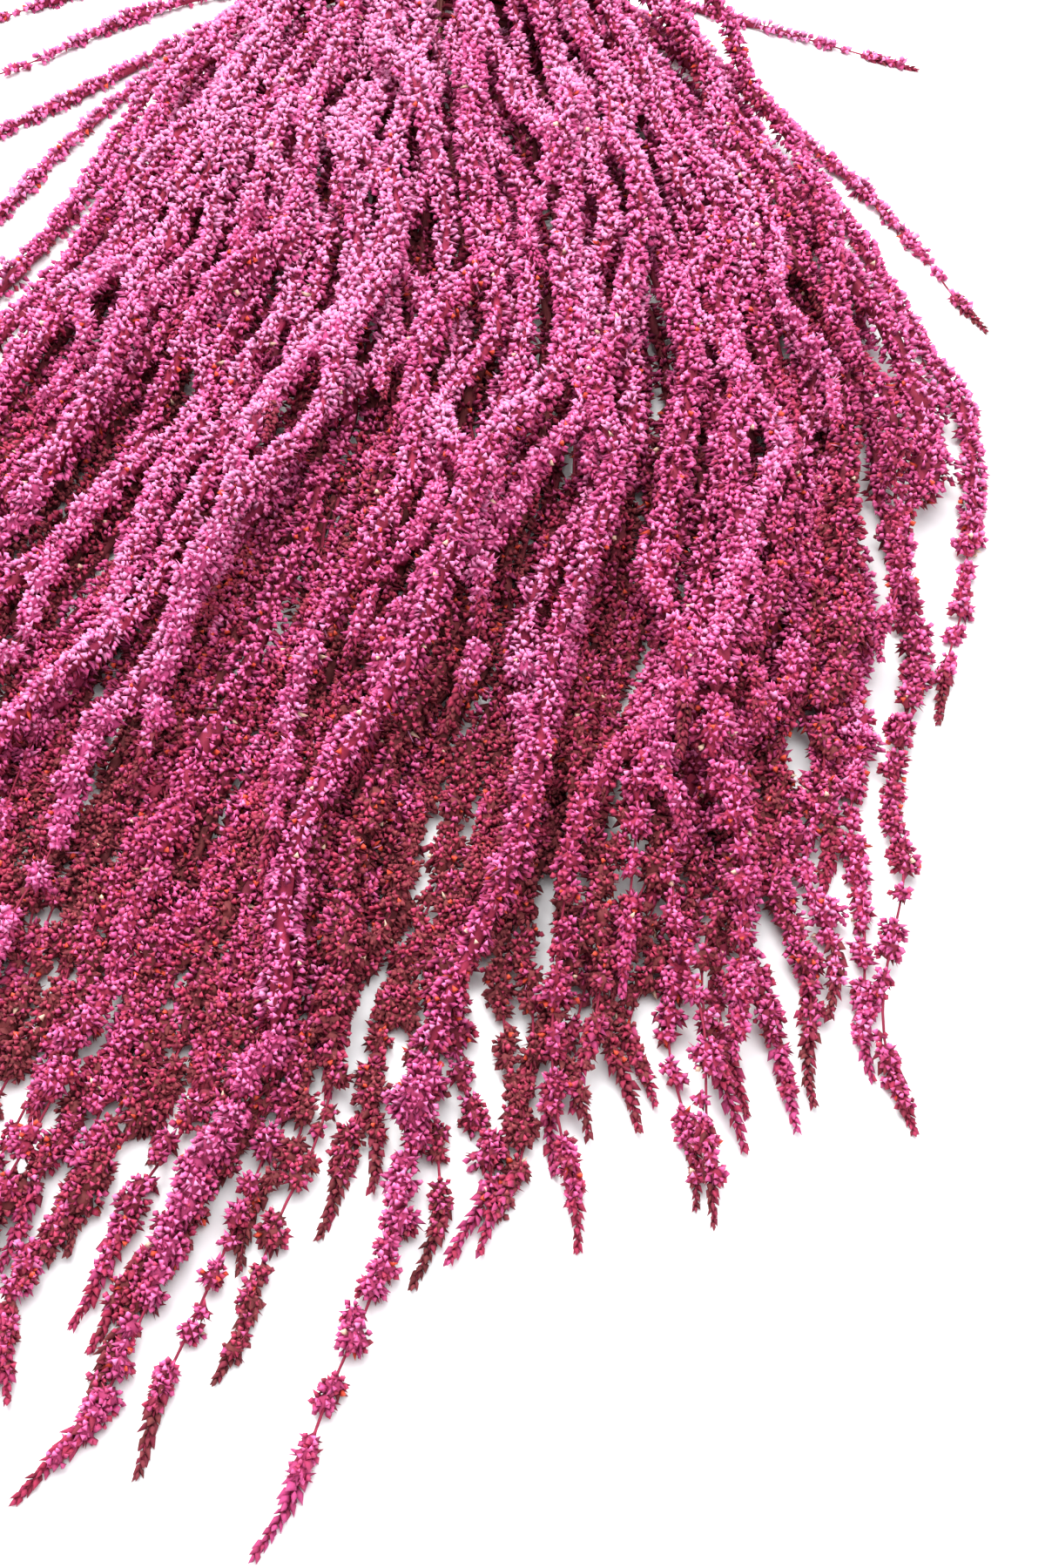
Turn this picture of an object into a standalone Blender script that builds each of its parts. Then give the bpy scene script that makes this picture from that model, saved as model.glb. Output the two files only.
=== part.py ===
"""A drooping amaranth seed head, cut, dried and laid down on a flat surface.

One ribbed stem lies along Y with its cut end towards +Y. Long cord-like tassels spring from all round
its crown, arch outwards and flow towards -Y in a wide fan, one over another as they come to rest.

The plan is written in millimetres, seen from above: side is the distance to the right of the stem and
drop the distance past the crown's lower end, towards the tassel tips. The meshes are in metres.
"""

import collections
import math
import random

import bmesh
import bpy
import numpy as np
from mathutils import Matrix, Vector, noise

MM = 0.001
SEED = 11
SHARP_ANGLE = math.radians(32)

# The stem
STEM_SIDES = 12
CUT_END = -280.0  # drop of the cut end
CHAMFER = 2.0
CROWN_TOP = -212.0  # drop of the last root towards the cut end
CUT_RADIUS = 5.6
CROWN_TOP_RADIUS = 5.0
CROWN_RADIUS = 2.6  # where the stem ends among the lowest tassels
RIB_DEPTH = 0.12  # share of the radius
STEM_SINK = 0.82  # the axis lies this share of the radius above the ground, so the underside is flat

# A tassel's cord
SIDES = 3
THICK = 6.3  # radius of a full cord, over its lumps
LOWER_THICK = (0.86, 1.0)  # range of the lower tassels' radii, as shares of a full cord's
UPPER_THICK = (0.92, 1.04)
STALK = 1.2  # radius of the bare stalk at the root
STALK_LENGTH = 12.0
SWELL_LENGTH = 42.0  # over which the stalk becomes a full cord
LUMP_PITCH = 14.0  # from one ring of lumps to the next
WAIST = 0.84  # radius of every other ring of lumps, as a share of the fuller ones
LUMP_RELIEF = 0.24  # how far single lumps swell or sink, as a share of the radius
LUMP_SIZE = 7.0

# Its lower end, where the cord loosens into a string of clusters and ends in a pointed spike
LOWER_STRING = 0.26  # share of the length that is loose
UPPER_STRING = 0.14
BEAD_PITCH = 17.0  # from one cluster to the next
NECK = 0.34  # radius between two clusters, as a share of the cord's
NECK_PLACE = 0.35  # of the neck, as a share of the pitch; the cluster follows half a pitch later
TAPER = 0.34  # how much smaller the last cluster is than the first
SPIKE_LENGTH = 24.0
SPIKE_RADIUS = 2.3
SPIKE_NECK = 0.62  # radius where the spike starts, as a share of its widest

# How a tassel leaves the stem: the amount at the middle of the fan, and what its edges add to that
LOWER_ROOTS = (-10.0, -118.0)  # drop of the root
UPPER_ROOTS = (-96.0, -112.0)
JOIN = (62.0, 88.0)  # from the root to where the tassel meets its line of the fan
LEAN = (22.0, 56.0)  # degrees between the stem and the tassel as it leaves
ROUND_STEM = 78.0  # degrees from the stem's top down to the root at the edge of the fan
SWAYS = ((150.0, 240.0, 3.4), (60.0, 95.0, 1.5))  # shortest and longest wave, and how far it swings
OUTER_SWAY = (45.0, 70.0, 1.6)
SWAY_FADE = 120.0  # over which the swaying sets in

# How tassels lie on one another
GAP = 0.5  # clear space between two tassels, and between a tassel and the stem
STEP = 3.0  # spacing of the points at which a tassel is laid
BEND = 60.0  # smallest radius in which a tassel arches up over another
SLOPE = 0.36  # steepest rise
SETTLE = 0.66  # a cord's axis lies this share of its radius above the ground
ROOT_FALL = 45.0  # over which a tassel comes down from its root
ROLL = 9.0  # how far a tassel may roll sideways into a groove between others
ROLL_START = 30.0  # length at the root that stays in its place
ROLL_FADE = 90.0
ROLL_FEEL = 1.5  # how far to either side it feels for the way down
ROLL_STRIDE = 1.6  # farthest that it moves in one round
ROLL_ROUNDS = 7
ROLL_SOFTENING = 70

# The fan that the tassels flow in: drop, then the side of its left edge, middle line and right edge
FAN = (
    (-60, -88, 2, 95),
    (0, -115, 8, 128),
    (130, -130, 20, 160),
    (250, -150, 20, 162),
    (330, -170, 10, 157),
    (410, -186, -6, 147),
    (510, -200, -28, 131),
    (590, -208, -48, 148),
    (670, -212, -70, 92),
)

# Long tassels of the lowest layer, from left to right: side and drop of the tip
LOWER_TIPS = (
    (-215, 330), (-210, 410), (-195, 470), (-180, 515), (-160, 550), (-140, 575), (-120, 585),
    (-95, 535), (-100, 605), (-95, 620), (-88, 640), (-60, 620), (-60, 565), (-35, 625),
    (-50, 650), (-15, 590), (10, 600), (52, 550), (50, 570), (50, 590), (85, 580),
    (95, 560), (100, 550), (90, 585), (133, 540), (143, 555),
)

# Tassels that lie over those: place in the fan at the crown from -1 to 1, then side and drop of the tip
UPPER_TIPS = (
    (-0.88, -190, 330), (-0.72, -212, 440), (-0.50, -198, 520), (-0.62, -150, 400),
    (-0.36, -182, 560), (-0.42, -120, 470), (-0.22, -150, 600), (-0.30, -65, 380),
    (-0.06, -108, 520), (-0.15, -75, 440), (0.05, -40, 480), (-0.20, 12, 425),
    (0.32, -70, 655), (0.18, -10, 440), (0.10, 30, 330), (0.38, 22, 500),
    (0.45, -20, 670), (0.33, 48, 420), (0.55, 62, 520), (0.50, 78, 450),
    (0.66, 92, 540), (0.75, 108, 430), (0.88, 125, 480), (0.95, 145, 390),
)

# Tassels that wander off on their own: root drop, radius, then side and drop of the points they pass
OUTER_ROUTES = (
    (-132, 5.6, (112, 0), (158, 130), (174, 220), (179, 255), (175, 284), (168, 312)),
    (-146, 4.3, (118, -20), (161, 95), (203, 242), (188, 327), (166, 400)),
    (-168, 3.2, (104, -65), (150, 13), (188, 88), (216, 180)),
    (-196, 2.8, (60, -150), (122, -96), (219, -36)),
    (-139, 4.0, (-105, -25), (-124, 28), (-146, 111), (-168, 165), (-190, 262)),
    (-155, 3.2, (-100, -66), (-132, -22), (-158, 42), (-176, 101), (-212, 200)),
    (-172, 3.6, (-88, -92), (-130, -42), (-168, 4), (-192, 32), (-222, 78)),
    (-188, 3.4, (-84, -122), (-144, -92), (-180, -40), (-228, -8)),
    (-204, 3.0, (-70, -158), (-130, -150), (-184, -104), (-224, -76)),
)
BROAD_END = 1.45  # the first outer tassel ends in one broad lump, this much thicker

ROSE = (0.52, 0.12, 0.26)
MAGENTA = (0.42, 0.04, 0.17)
WINE = (0.27, 0.02, 0.07)
STALK_TAN = (0.34, 0.19, 0.12)

Tassel = collections.namedtuple("Tassel", "name route root_height radius loose broad tint")


def smooth_step(t):
    t = np.clip(t, 0.0, 1.0)
    return t * t * (3 - 2 * t)


def fan_side(place, drop):
    """The side of the line that runs at this place of the fan, from -1 at its left edge to 1."""
    drops, left, middle, right = np.array(FAN, float).T
    at_middle = np.interp(drop, drops, middle)
    to_edge = np.where(
        np.asarray(place) > 0,
        np.interp(drop, drops, right) - at_middle,
        at_middle - np.interp(drop, drops, left),
    )
    return at_middle + place * to_edge


def fan_place(side, drop):
    """The place in the fan of a point, which undoes fan_side."""
    middle = float(fan_side(0.0, drop))
    edge = float(fan_side(1.0 if side > middle else -1.0, drop))
    return abs(side - middle) / abs(edge - middle) * (1.0 if side > middle else -1.0)


def evenly(points):
    """The polyline read again at even steps along it."""
    points = np.asarray(points, float)
    along = np.concatenate([[0.0], np.cumsum(np.linalg.norm(np.diff(points, axis=0), axis=1))])
    count = max(int(round(along[-1] / STEP)), 2)
    at = np.linspace(0.0, along[-1], count + 1)
    return np.stack([np.interp(at, along, axis) for axis in points.T], axis=1)


def softened(points, rounds):
    """The polyline with its corners rounded off and its two ends kept."""
    points = points.copy()
    for _ in range(rounds):
        points[1:-1] += 0.5 * ((points[:-2] + points[2:]) / 2 - points[1:-1])
    return points


def swayed(line, along, sway, draw):
    """The line swinging gently from side to side, more and more as it leaves the stem."""
    shortest, longest, swing = sway
    wave, start = draw.uniform(shortest, longest), draw.uniform(0, 2 * math.pi)
    line = line.copy()
    line[:, 0] += swing * smooth_step(along / SWAY_FADE) * np.sin(2 * math.pi * along / wave + start)
    return line


def arch(root, root_lean, join, join_direction):
    """Plan points of the arch from a root on the stem to the point where it joins its fan line."""
    reach = float(np.linalg.norm(join - root))
    t = np.linspace(0.0, 1.0, 25)[:, None]
    leave = np.array([math.sin(root_lean), math.cos(root_lean)]) * reach
    arrive = join_direction * reach
    return (
        (2 * t**3 - 3 * t**2 + 1) * root
        + (t**3 - 2 * t**2 + t) * leave
        + (3 * t**2 - 2 * t**3) * join
        + (t**3 - t**2) * arrive
    )


def stem_radius(drop):
    radii = (CUT_RADIUS, CROWN_TOP_RADIUS, CROWN_RADIUS)
    return float(np.interp(drop, (CUT_END, CROWN_TOP, 0.0), radii))


def stem_height(drop):
    return STEM_SINK * stem_radius(drop)


def root_point(place, drop):
    """Plan side and height of a root: right, over the top, or left of the stem, just clear of it."""
    turned = math.radians(90 - ROUND_STEM * place)
    out = stem_radius(drop) + STALK + GAP
    return out * math.cos(turned), stem_height(drop) + out * math.sin(turned)


def towards_edge(amount, place):
    """What an amount, given for the fan's middle and as the edges' extra, comes to at this place."""
    middle, extra = amount
    return middle + extra * abs(place)


def fan_route(place, roots, tip, draw):
    """Plan route of a tassel that flows down the fan, as (side, drop) points, and its root's height."""
    root_drop = towards_edge(roots, place)
    side, height = root_point(place, root_drop)
    join_drop = root_drop + towards_edge(JOIN, place)
    drops = np.arange(join_drop, tip[1], 4.0)
    shift = smooth_step((drops - join_drop) / (tip[1] - join_drop))
    places = place + (fan_place(*tip) - place) * shift
    line = np.stack([fan_side(places, drops), drops], axis=1)
    for sway in SWAYS:
        line = swayed(line, drops - join_drop, sway, draw)
    line = softened(line, 12)
    direction = (line[3] - line[0]) / np.linalg.norm(line[3] - line[0])
    lean = math.copysign(math.radians(towards_edge(LEAN, place)), place)
    start = arch(np.array([side, root_drop]), lean, line[0], direction)
    return np.concatenate([start[:-1], line]), height


def outer_route(root_drop, points, draw):
    """Plan route of a tassel that leaves the fan, through its own points, and its root's height."""
    toward = 1.0 if points[0][0] > 0 else -1.0
    side, height = root_point(toward, root_drop)
    line = evenly([(side, root_drop), (side + toward * 14, root_drop + 1), *points])
    line = softened(line, 60)
    return swayed(line, np.arange(len(line)) * STEP, OUTER_SWAY, draw), height


def cord_rings(length, tassel, draw):
    """Distance along the cord and radius of each ring of lumps, from the stalk to the pointed tip."""
    swell_end = STALK_LENGTH + SWELL_LENGTH
    string_end = length - SPIKE_LENGTH
    string_start = max(string_end - length * tassel.loose, swell_end + LUMP_PITCH)
    rings = [(0.0, STALK), (STALK_LENGTH, STALK * 1.15)]
    lumps = max(int(round((string_start - swell_end) / LUMP_PITCH)), 1)
    for i, at in enumerate(np.linspace(swell_end, string_start, lumps + 1)):
        rings.append((float(at), tassel.radius * (WAIST if i % 2 else 1.0) * draw.uniform(0.94, 1.0)))
    beads = max(int(round((string_end - string_start) / BEAD_PITCH)), 0)
    for bead in range(beads):
        pitch = (string_end - string_start) / beads
        neck = string_start + (bead + NECK_PLACE) * pitch
        full = tassel.radius * tassel.broad * (1.0 - TAPER * (bead + 1) / beads)
        rings.append((neck, tassel.radius * NECK))
        rings.append((neck + pitch / 2, full * draw.uniform(0.95, 1.18)))
    rings.append((string_end + 2.0, SPIKE_RADIUS * SPIKE_NECK))
    rings.append((string_end + 0.45 * SPIKE_LENGTH, SPIKE_RADIUS))
    rings.append((length, 0.0))
    return rings


class Bed:
    """Everything laid so far, as balls strung close together: the stem first, then each tassel."""

    def __init__(self):
        self.balls = np.empty((0, 4))

    def add(self, points, radii):
        self.balls = np.concatenate([self.balls, np.column_stack([points, radii])])

    def heights_over(self, plan, radii):
        """The height at which a ball of each radius just clears all that lies below it."""
        needed = np.zeros(len(plan))
        under = self.balls
        for start in range(0, len(plan), 64):
            part = slice(start, start + 64)
            apart = ((plan[part, None, :] - under[None, :, :2]) ** 2).sum(axis=2)
            clear = radii[part, None] + under[None, :, 3] + GAP
            rise = np.sqrt(np.maximum(clear**2 - apart, 0.0))
            needed[part] = np.where(apart < clear**2, under[None, :, 2] + rise, 0.0).max(axis=1)
        return needed

    def rolled(self, plan, radii):
        """The plan route after it has rolled down off what it would lie on, into the grooves beside it."""
        along = np.arange(len(plan)) * STEP
        ahead = np.gradient(plan, axis=0)
        across = np.stack([-ahead[:, 1], ahead[:, 0]], axis=1)
        across /= np.linalg.norm(across, axis=1)[:, None]
        free = smooth_step((along - ROLL_START) / ROLL_FADE)
        moved = np.zeros(len(plan))
        for _ in range(ROLL_ROUNDS):
            here = plan + across * moved[:, None]
            behind = self.heights_over(here - across * ROLL_FEEL, radii)
            in_front = self.heights_over(here + across * ROLL_FEEL, radii)
            moved += np.clip(behind - in_front, -ROLL_STRIDE, ROLL_STRIDE)
            moved = np.clip(softened(moved, ROLL_SOFTENING), -ROLL, ROLL) * free
        return plan + across * moved[:, None]

    def lay(self, plan, radii, root_height):
        """The plan route with a height at every point: down on the ground, or arched over the others."""
        plan = self.rolled(plan, radii)
        along = np.arange(len(plan)) * STEP
        needed = np.maximum(self.heights_over(plan, radii), SETTLE * radii)
        needed = np.maximum(needed, root_height * (1 - smooth_step(along / ROOT_FALL)))
        away = np.abs(along[:, None] - along[None, :])
        sag = np.where(away < SLOPE * BEND, away**2 / (2 * BEND), SLOPE * away - SLOPE**2 * BEND / 2)
        height = (needed[None, :] - sag).max(axis=1)
        for _ in range(6):
            height[1:-1] = (height[:-2] + 2 * height[1:-1] + height[2:]) / 4
            height[1:] = np.maximum(height, needed)[1:]
        path = np.column_stack([plan, height])
        self.add(path, radii)
        return path


def ring_frames(path, rings):
    """A matrix for each ring that puts a flat circle of radius 1 across the cord, in metres."""
    along = np.concatenate([[0.0], np.cumsum(np.linalg.norm(np.diff(path, axis=0), axis=1))])
    scale = along[-1] / rings[-1][0]
    places = [at * scale for at, _ in rings]
    points = [Vector([np.interp(at, along, axis) for axis in path.T]) for at in places]
    frames, across = [], Vector((0, 0, 1))
    for i, (point, (_, radius)) in enumerate(zip(points, rings)):
        ahead = (points[min(i + 1, len(points) - 1)] - points[max(i - 1, 0)]).normalized()
        across = (across - ahead * across.dot(ahead)).normalized()
        turn = Matrix.Rotation(math.pi * i / SIDES, 4, "Z")
        basis = Matrix((ahead.cross(across), across, -ahead)).transposed().to_4x4()
        basis = Matrix.Translation(point * MM) @ basis
        frames.append(basis @ turn @ Matrix.Scale(max(radius, 0.4) * MM, 4))
    return frames


def loft(bm, frames, sides, pointed):
    """Extrudes a capped circle through the frames, and closes it in a point or a flat cap."""
    ring = bmesh.ops.create_circle(bm, cap_ends=True, radius=1.0, segments=sides)["verts"]
    bmesh.ops.transform(bm, matrix=frames[0], verts=ring)
    edges = list({edge for vert in ring for edge in vert.link_edges})
    for before, after in zip(frames, frames[1:]):
        grown = bmesh.ops.extrude_edge_only(bm, edges=edges)["geom"]
        ring = [item for item in grown if isinstance(item, bmesh.types.BMVert)]
        edges = [
            item
            for item in grown
            if isinstance(item, bmesh.types.BMEdge) and all(vert in ring for vert in item.verts)
        ]
        bmesh.ops.transform(bm, matrix=after @ before.inverted(), verts=ring)
    if pointed:
        bmesh.ops.pointmerge(bm, verts=ring, merge_co=frames[-1].translation)
    else:
        bmesh.ops.contextual_create(bm, geom=edges)


def finish_mesh(bm, name):
    """Flattens what would sink below the ground, and makes the mesh of it."""
    for vert in bm.verts:
        vert.co.z = max(vert.co.z, 0.0)
    bmesh.ops.triangulate(bm, faces=bm.faces, quad_method="SHORT_EDGE", ngon_method="BEAUTY")
    bmesh.ops.recalc_face_normals(bm, faces=bm.faces)
    mesh = bpy.data.meshes.new(name)
    bm.to_mesh(mesh)
    bm.free()
    mesh.shade_smooth()
    mesh.set_sharp_from_angle(angle=SHARP_ANGLE)
    return mesh


def dry_material(name, colour, roughness):
    material = bpy.data.materials.new(name)
    material.use_nodes = True
    shader = material.node_tree.nodes["Principled BSDF"]
    shader.inputs["Base Color"].default_value = (*colour, 1.0)
    shader.inputs["Roughness"].default_value = roughness
    shader.inputs["Metallic"].default_value = 0.0
    return material


def add_object(name, mesh, material, head, collection):
    piece = bpy.data.objects.new(name, mesh)
    mesh.materials.append(material)
    piece.parent = head
    collection.objects.link(piece)


def mixed(first, second, share):
    return tuple(a + (b - a) * share for a, b in zip(first, second))


def build_stem(bed, head, collection):
    """The ribbed main stem, flat where it lies, from the cut end to the lowest roots."""
    drops = (CUT_END, CUT_END + CHAMFER, -250, CROWN_TOP, -160, -105, -55, -15, 0)
    frames = []
    for drop in drops:
        radius = stem_radius(drop) * (0.9 if drop in (drops[0], drops[-1]) else 1.0)
        centre = Vector((0, -drop, stem_height(drop))) * MM
        across = Matrix.Rotation(math.radians(90), 4, "X")
        frames.append(Matrix.Translation(centre) @ across @ Matrix.Scale(radius * MM, 4))
    bm = bmesh.new()
    loft(bm, frames, STEM_SIDES, pointed=False)
    for vert in bm.verts:
        axis = Vector((0, vert.co.y, stem_height(-vert.co.y / MM) * MM))
        out = vert.co - axis
        rib = round(math.atan2(out.z, out.x) / (2 * math.pi / STEM_SIDES)) % 2
        vert.co = axis + out * (1 - RIB_DEPTH * rib)
    mesh = finish_mesh(bm, "stem")
    add_object("stem", mesh, dry_material("dry_stem", STALK_TAN, 0.7), head, collection)
    reach = np.arange(CUT_END, 1.0, STEP)
    axis = [(0.0, drop, stem_height(drop)) for drop in reach]
    bed.add(np.array(axis), np.array([stem_radius(drop) for drop in reach]))


def build_tassel(tassel, bed, draw, head, collection):
    """Lays one tassel on the bed and lofts its lumps along the path it takes."""
    plan = evenly(tassel.route)
    length = STEP * (len(plan) - 1)
    rings = cord_rings(length, tassel, draw)
    ring_at, ring_radius = np.array(rings).T
    radii = np.interp(np.arange(len(plan)) * STEP, ring_at, ring_radius)
    path = bed.lay(plan, radii * (1 + LUMP_RELIEF / 2), tassel.root_height)
    path[:, 1] *= -1
    bm = bmesh.new()
    loft(bm, ring_frames(path, rings), SIDES, pointed=True)
    bmesh.ops.recalc_face_normals(bm, faces=bm.faces)
    bm.normal_update()
    for vert in bm.verts:
        swell = min(noise.noise(vert.co / (LUMP_SIZE * MM)), 0.5)
        vert.co += vert.normal * swell * LUMP_RELIEF * THICK * MM
    mesh = finish_mesh(bm, tassel.name)
    florets = dry_material(f"{tassel.name}_florets", mixed(MAGENTA, tassel.tint, draw.random()), 0.8)
    add_object(tassel.name, mesh, florets, head, collection)


def plan_tassels(draw):
    """All tassels in the order they are laid: every second one of a layer, then those between them."""
    tassels = []
    rows = list(enumerate(zip(np.linspace(-1, 1, len(LOWER_TIPS)), LOWER_TIPS)))
    for i, (place, tip) in rows[::2] + rows[1::2]:
        route, height = fan_route(place, LOWER_ROOTS, tip, draw)
        radius = THICK * draw.uniform(*LOWER_THICK)
        tassels.append(Tassel(f"lower_tassel_{i + 1:02d}", route, height, radius, LOWER_STRING, 1.0, WINE))
    for i, (root_drop, radius, *points) in enumerate(OUTER_ROUTES):
        route, height = outer_route(root_drop, points, draw)
        broad = BROAD_END if i == 0 else 1.0
        tassels.append(Tassel(f"outer_tassel_{i + 1:02d}", route, height, radius, UPPER_STRING, broad, WINE))
    rows = sorted(enumerate(UPPER_TIPS), key=lambda row: row[1][0])
    for i, (place, *tip) in rows[1::3] + rows[::3] + rows[2::3]:
        route, height = fan_route(place, UPPER_ROOTS, tip, draw)
        radius = THICK * draw.uniform(*UPPER_THICK)
        tassels.append(Tassel(f"upper_tassel_{i + 1:02d}", route, height, radius, UPPER_STRING, 1.0, ROSE))
    return tassels


def build_head():
    for leftover in list(bpy.data.objects):
        bpy.data.objects.remove(leftover, do_unlink=True)
    collection = bpy.data.collections.new("amaranth_seed_head")
    bpy.context.scene.collection.children.link(collection)
    head = bpy.data.objects.new("head_origin", None)
    collection.objects.link(head)

    draw = random.Random(SEED)
    bed = Bed()
    build_stem(bed, head, collection)
    for tassel in plan_tassels(draw):
        build_tassel(tassel, bed, draw, head, collection)

    corners = np.array([
        piece.matrix_world @ vert.co
        for piece in collection.objects
        if piece.type == "MESH"
        for vert in piece.data.vertices
    ])
    middle = (corners.min(axis=0) + corners.max(axis=0)) / 2
    head.location = (-middle[0], -middle[1], 0.0)


build_head()
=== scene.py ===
# %% [markdown]
# # A dried amaranth seed head
#
# The real object is a cut seed head that lies on a white table: one stem and about sixty long tassels,
# each a thin stalk crowded with thousands of tiny papery florets. This lesson dresses plain solid
# tassels in florets that are real geometry, because their grain is what the eye sees first.
#
# The solids come in first. Everything made later sits on them, in metres, in the same frame.

import collections
import math

import bmesh
import bpy
import numpy as np
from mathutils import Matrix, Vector, noise
from mathutils.bvhtree import BVHTree


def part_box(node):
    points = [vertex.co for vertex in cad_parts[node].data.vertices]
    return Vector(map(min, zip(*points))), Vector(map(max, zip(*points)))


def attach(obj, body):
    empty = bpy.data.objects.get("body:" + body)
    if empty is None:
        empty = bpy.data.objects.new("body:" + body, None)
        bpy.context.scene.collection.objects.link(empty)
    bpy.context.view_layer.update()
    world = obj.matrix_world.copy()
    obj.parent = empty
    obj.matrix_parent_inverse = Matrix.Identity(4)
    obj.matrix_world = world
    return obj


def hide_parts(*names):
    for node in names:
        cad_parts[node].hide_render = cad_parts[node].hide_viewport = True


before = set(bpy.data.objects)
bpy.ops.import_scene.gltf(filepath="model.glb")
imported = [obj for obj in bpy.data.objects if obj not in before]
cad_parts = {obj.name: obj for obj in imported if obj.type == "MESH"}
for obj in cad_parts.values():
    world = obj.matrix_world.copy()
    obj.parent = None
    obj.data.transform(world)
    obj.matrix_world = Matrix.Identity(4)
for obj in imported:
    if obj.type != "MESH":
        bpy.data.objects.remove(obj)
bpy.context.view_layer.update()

MM = 0.001
UP = np.array([0.0, 0.0, 1.0])
dice = np.random.default_rng(7)

stem_low, stem_high = (np.array(corner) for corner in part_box("stem"))
tassel_names = sorted(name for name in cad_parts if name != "stem")
print(len(tassel_names), "tassels; the stem ends at y =", round(float(stem_high[1]), 3))

# %% [markdown]
# ## The camera
#
# The photograph looks down at the head from the side of the tips, at a little under 45 degrees. The
# distance decides how much the cords shrink towards the crown: here they are half as wide at the top
# of the picture as at its middle, so the camera is near, about a metre away.

# %% Camera
CUT_TO_CROWN = 280 * MM  # from the stem's cut end to where its crown ends
CAMERA_BACK = 880 * MM  # from there to the point on the table under the camera
CAMERA_RIGHT = 40 * MM
CAMERA_UP = 448 * MM
CAMERA_TILT = math.radians(44.5)  # below the horizon

camera = bpy.data.objects.new("camera", bpy.data.cameras.new("camera"))
camera.data.sensor_fit = "VERTICAL"
camera.data.sensor_height = 24.0
camera.data.lens = 32.67
camera.data.clip_start = 0.01
crown = np.array([(stem_low[0] + stem_high[0]) / 2, stem_high[1] - CUT_TO_CROWN, 0.0])
camera.location = crown + (CAMERA_RIGHT, -CAMERA_BACK, CAMERA_UP)
camera.rotation_euler = (math.pi / 2 - CAMERA_TILT, 0.0, 0.0)
bpy.context.scene.collection.objects.link(camera)
bpy.context.scene.camera = camera
print("camera at", [round(v, 3) for v in camera.location])

# %% [markdown]
# ## Light
#
# The picture is bright and nearly without shadows: a white table in a white room beside a large window.
# An even white sky gives the room, one large lamp from behind and above gives the window, and the tops
# of the cords catch it while the gaps between them stay dark.

# %% Sky and lamps
bpy.context.scene.view_settings.view_transform = "Standard"
sky = bpy.data.worlds.new("white_room")
sky.use_nodes = True
sky.node_tree.nodes["Background"].inputs["Color"].default_value = (0.93, 0.96, 1.0, 1.0)
sky.node_tree.nodes["Background"].inputs["Strength"].default_value = 0.85
bpy.context.scene.world = sky


def add_lamp(name, place, size, watts, colour):
    """A square lamp that faces the middle of the head."""
    lamp = bpy.data.objects.new(name, bpy.data.lights.new(name, "AREA"))
    lamp.data.size = size
    lamp.data.energy = watts
    lamp.data.color = colour
    lamp.location = place
    lamp.rotation_euler = (-Vector(place)).to_track_quat("-Z", "Y").to_euler()
    bpy.context.scene.collection.objects.link(lamp)


add_lamp("window", (-0.5, 1.1, 1.7), 1.2, 60.0, (1.0, 0.985, 0.97))
add_lamp("ceiling", (0.3, -0.4, 2.2), 2.0, 44.0, (1.0, 1.0, 1.0))
print(len(bpy.data.lights), "lamps")

# %% [markdown]
# ## Shader sums
#
# A material is a graph of nodes, and most of a graph is arithmetic. This small class wraps a socket, so
# that the arithmetic can be written as Python expressions. Any other node comes from its `node` method.


# %% A socket that can be added and multiplied
class Shade:
    """A socket of a material's graph. Python's operators on it add Math nodes."""

    def __init__(self, tree, socket=None):
        self.tree = tree
        self.socket = socket

    def node(self, kind, settings=(), sockets=(), output=0):
        """Adds a node: first its settings, then the values or links of its sockets."""
        made = self.tree.nodes.new(kind)
        for name, value in dict(settings).items():
            if name == "stops":
                put_stops(made.color_ramp, value)
            else:
                setattr(made, name, value)
        for name, value in dict(sockets).items():
            if isinstance(value, Shade):
                self.tree.links.new(value.socket, made.inputs[name])
            else:
                made.inputs[name].default_value = value
        return Shade(self.tree, made.outputs[output])

    def math(self, operation, first, second):
        return self.node("ShaderNodeMath", {"operation": operation}, {0: first, 1: second})

    def __add__(self, other):
        return self.math("ADD", self, other)

    def __sub__(self, other):
        return self.math("SUBTRACT", self, other)

    def __rsub__(self, other):
        return self.math("SUBTRACT", other, self)

    def __mul__(self, other):
        return self.math("MULTIPLY", self, other)

    __radd__ = __add__
    __rmul__ = __mul__


def put_stops(ramp, stops):
    """Sets a colour ramp to these stops, each a place from 0 to 1 and a colour."""
    while len(ramp.elements) > 1:
        ramp.elements.remove(ramp.elements[-1])
    ramp.elements[0].position = stops[0][0]
    ramp.elements[0].color = (*stops[0][1], 1.0)
    for place, colour in stops[1:]:
        ramp.elements.new(place).color = (*colour, 1.0)


def new_material(name):
    """A material, its graph to add nodes to, and the shader's sockets."""
    material = bpy.data.materials.new(name)
    material.use_nodes = True
    shader = material.node_tree.nodes["Principled BSDF"]
    return material, Shade(material.node_tree), shader.inputs
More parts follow.
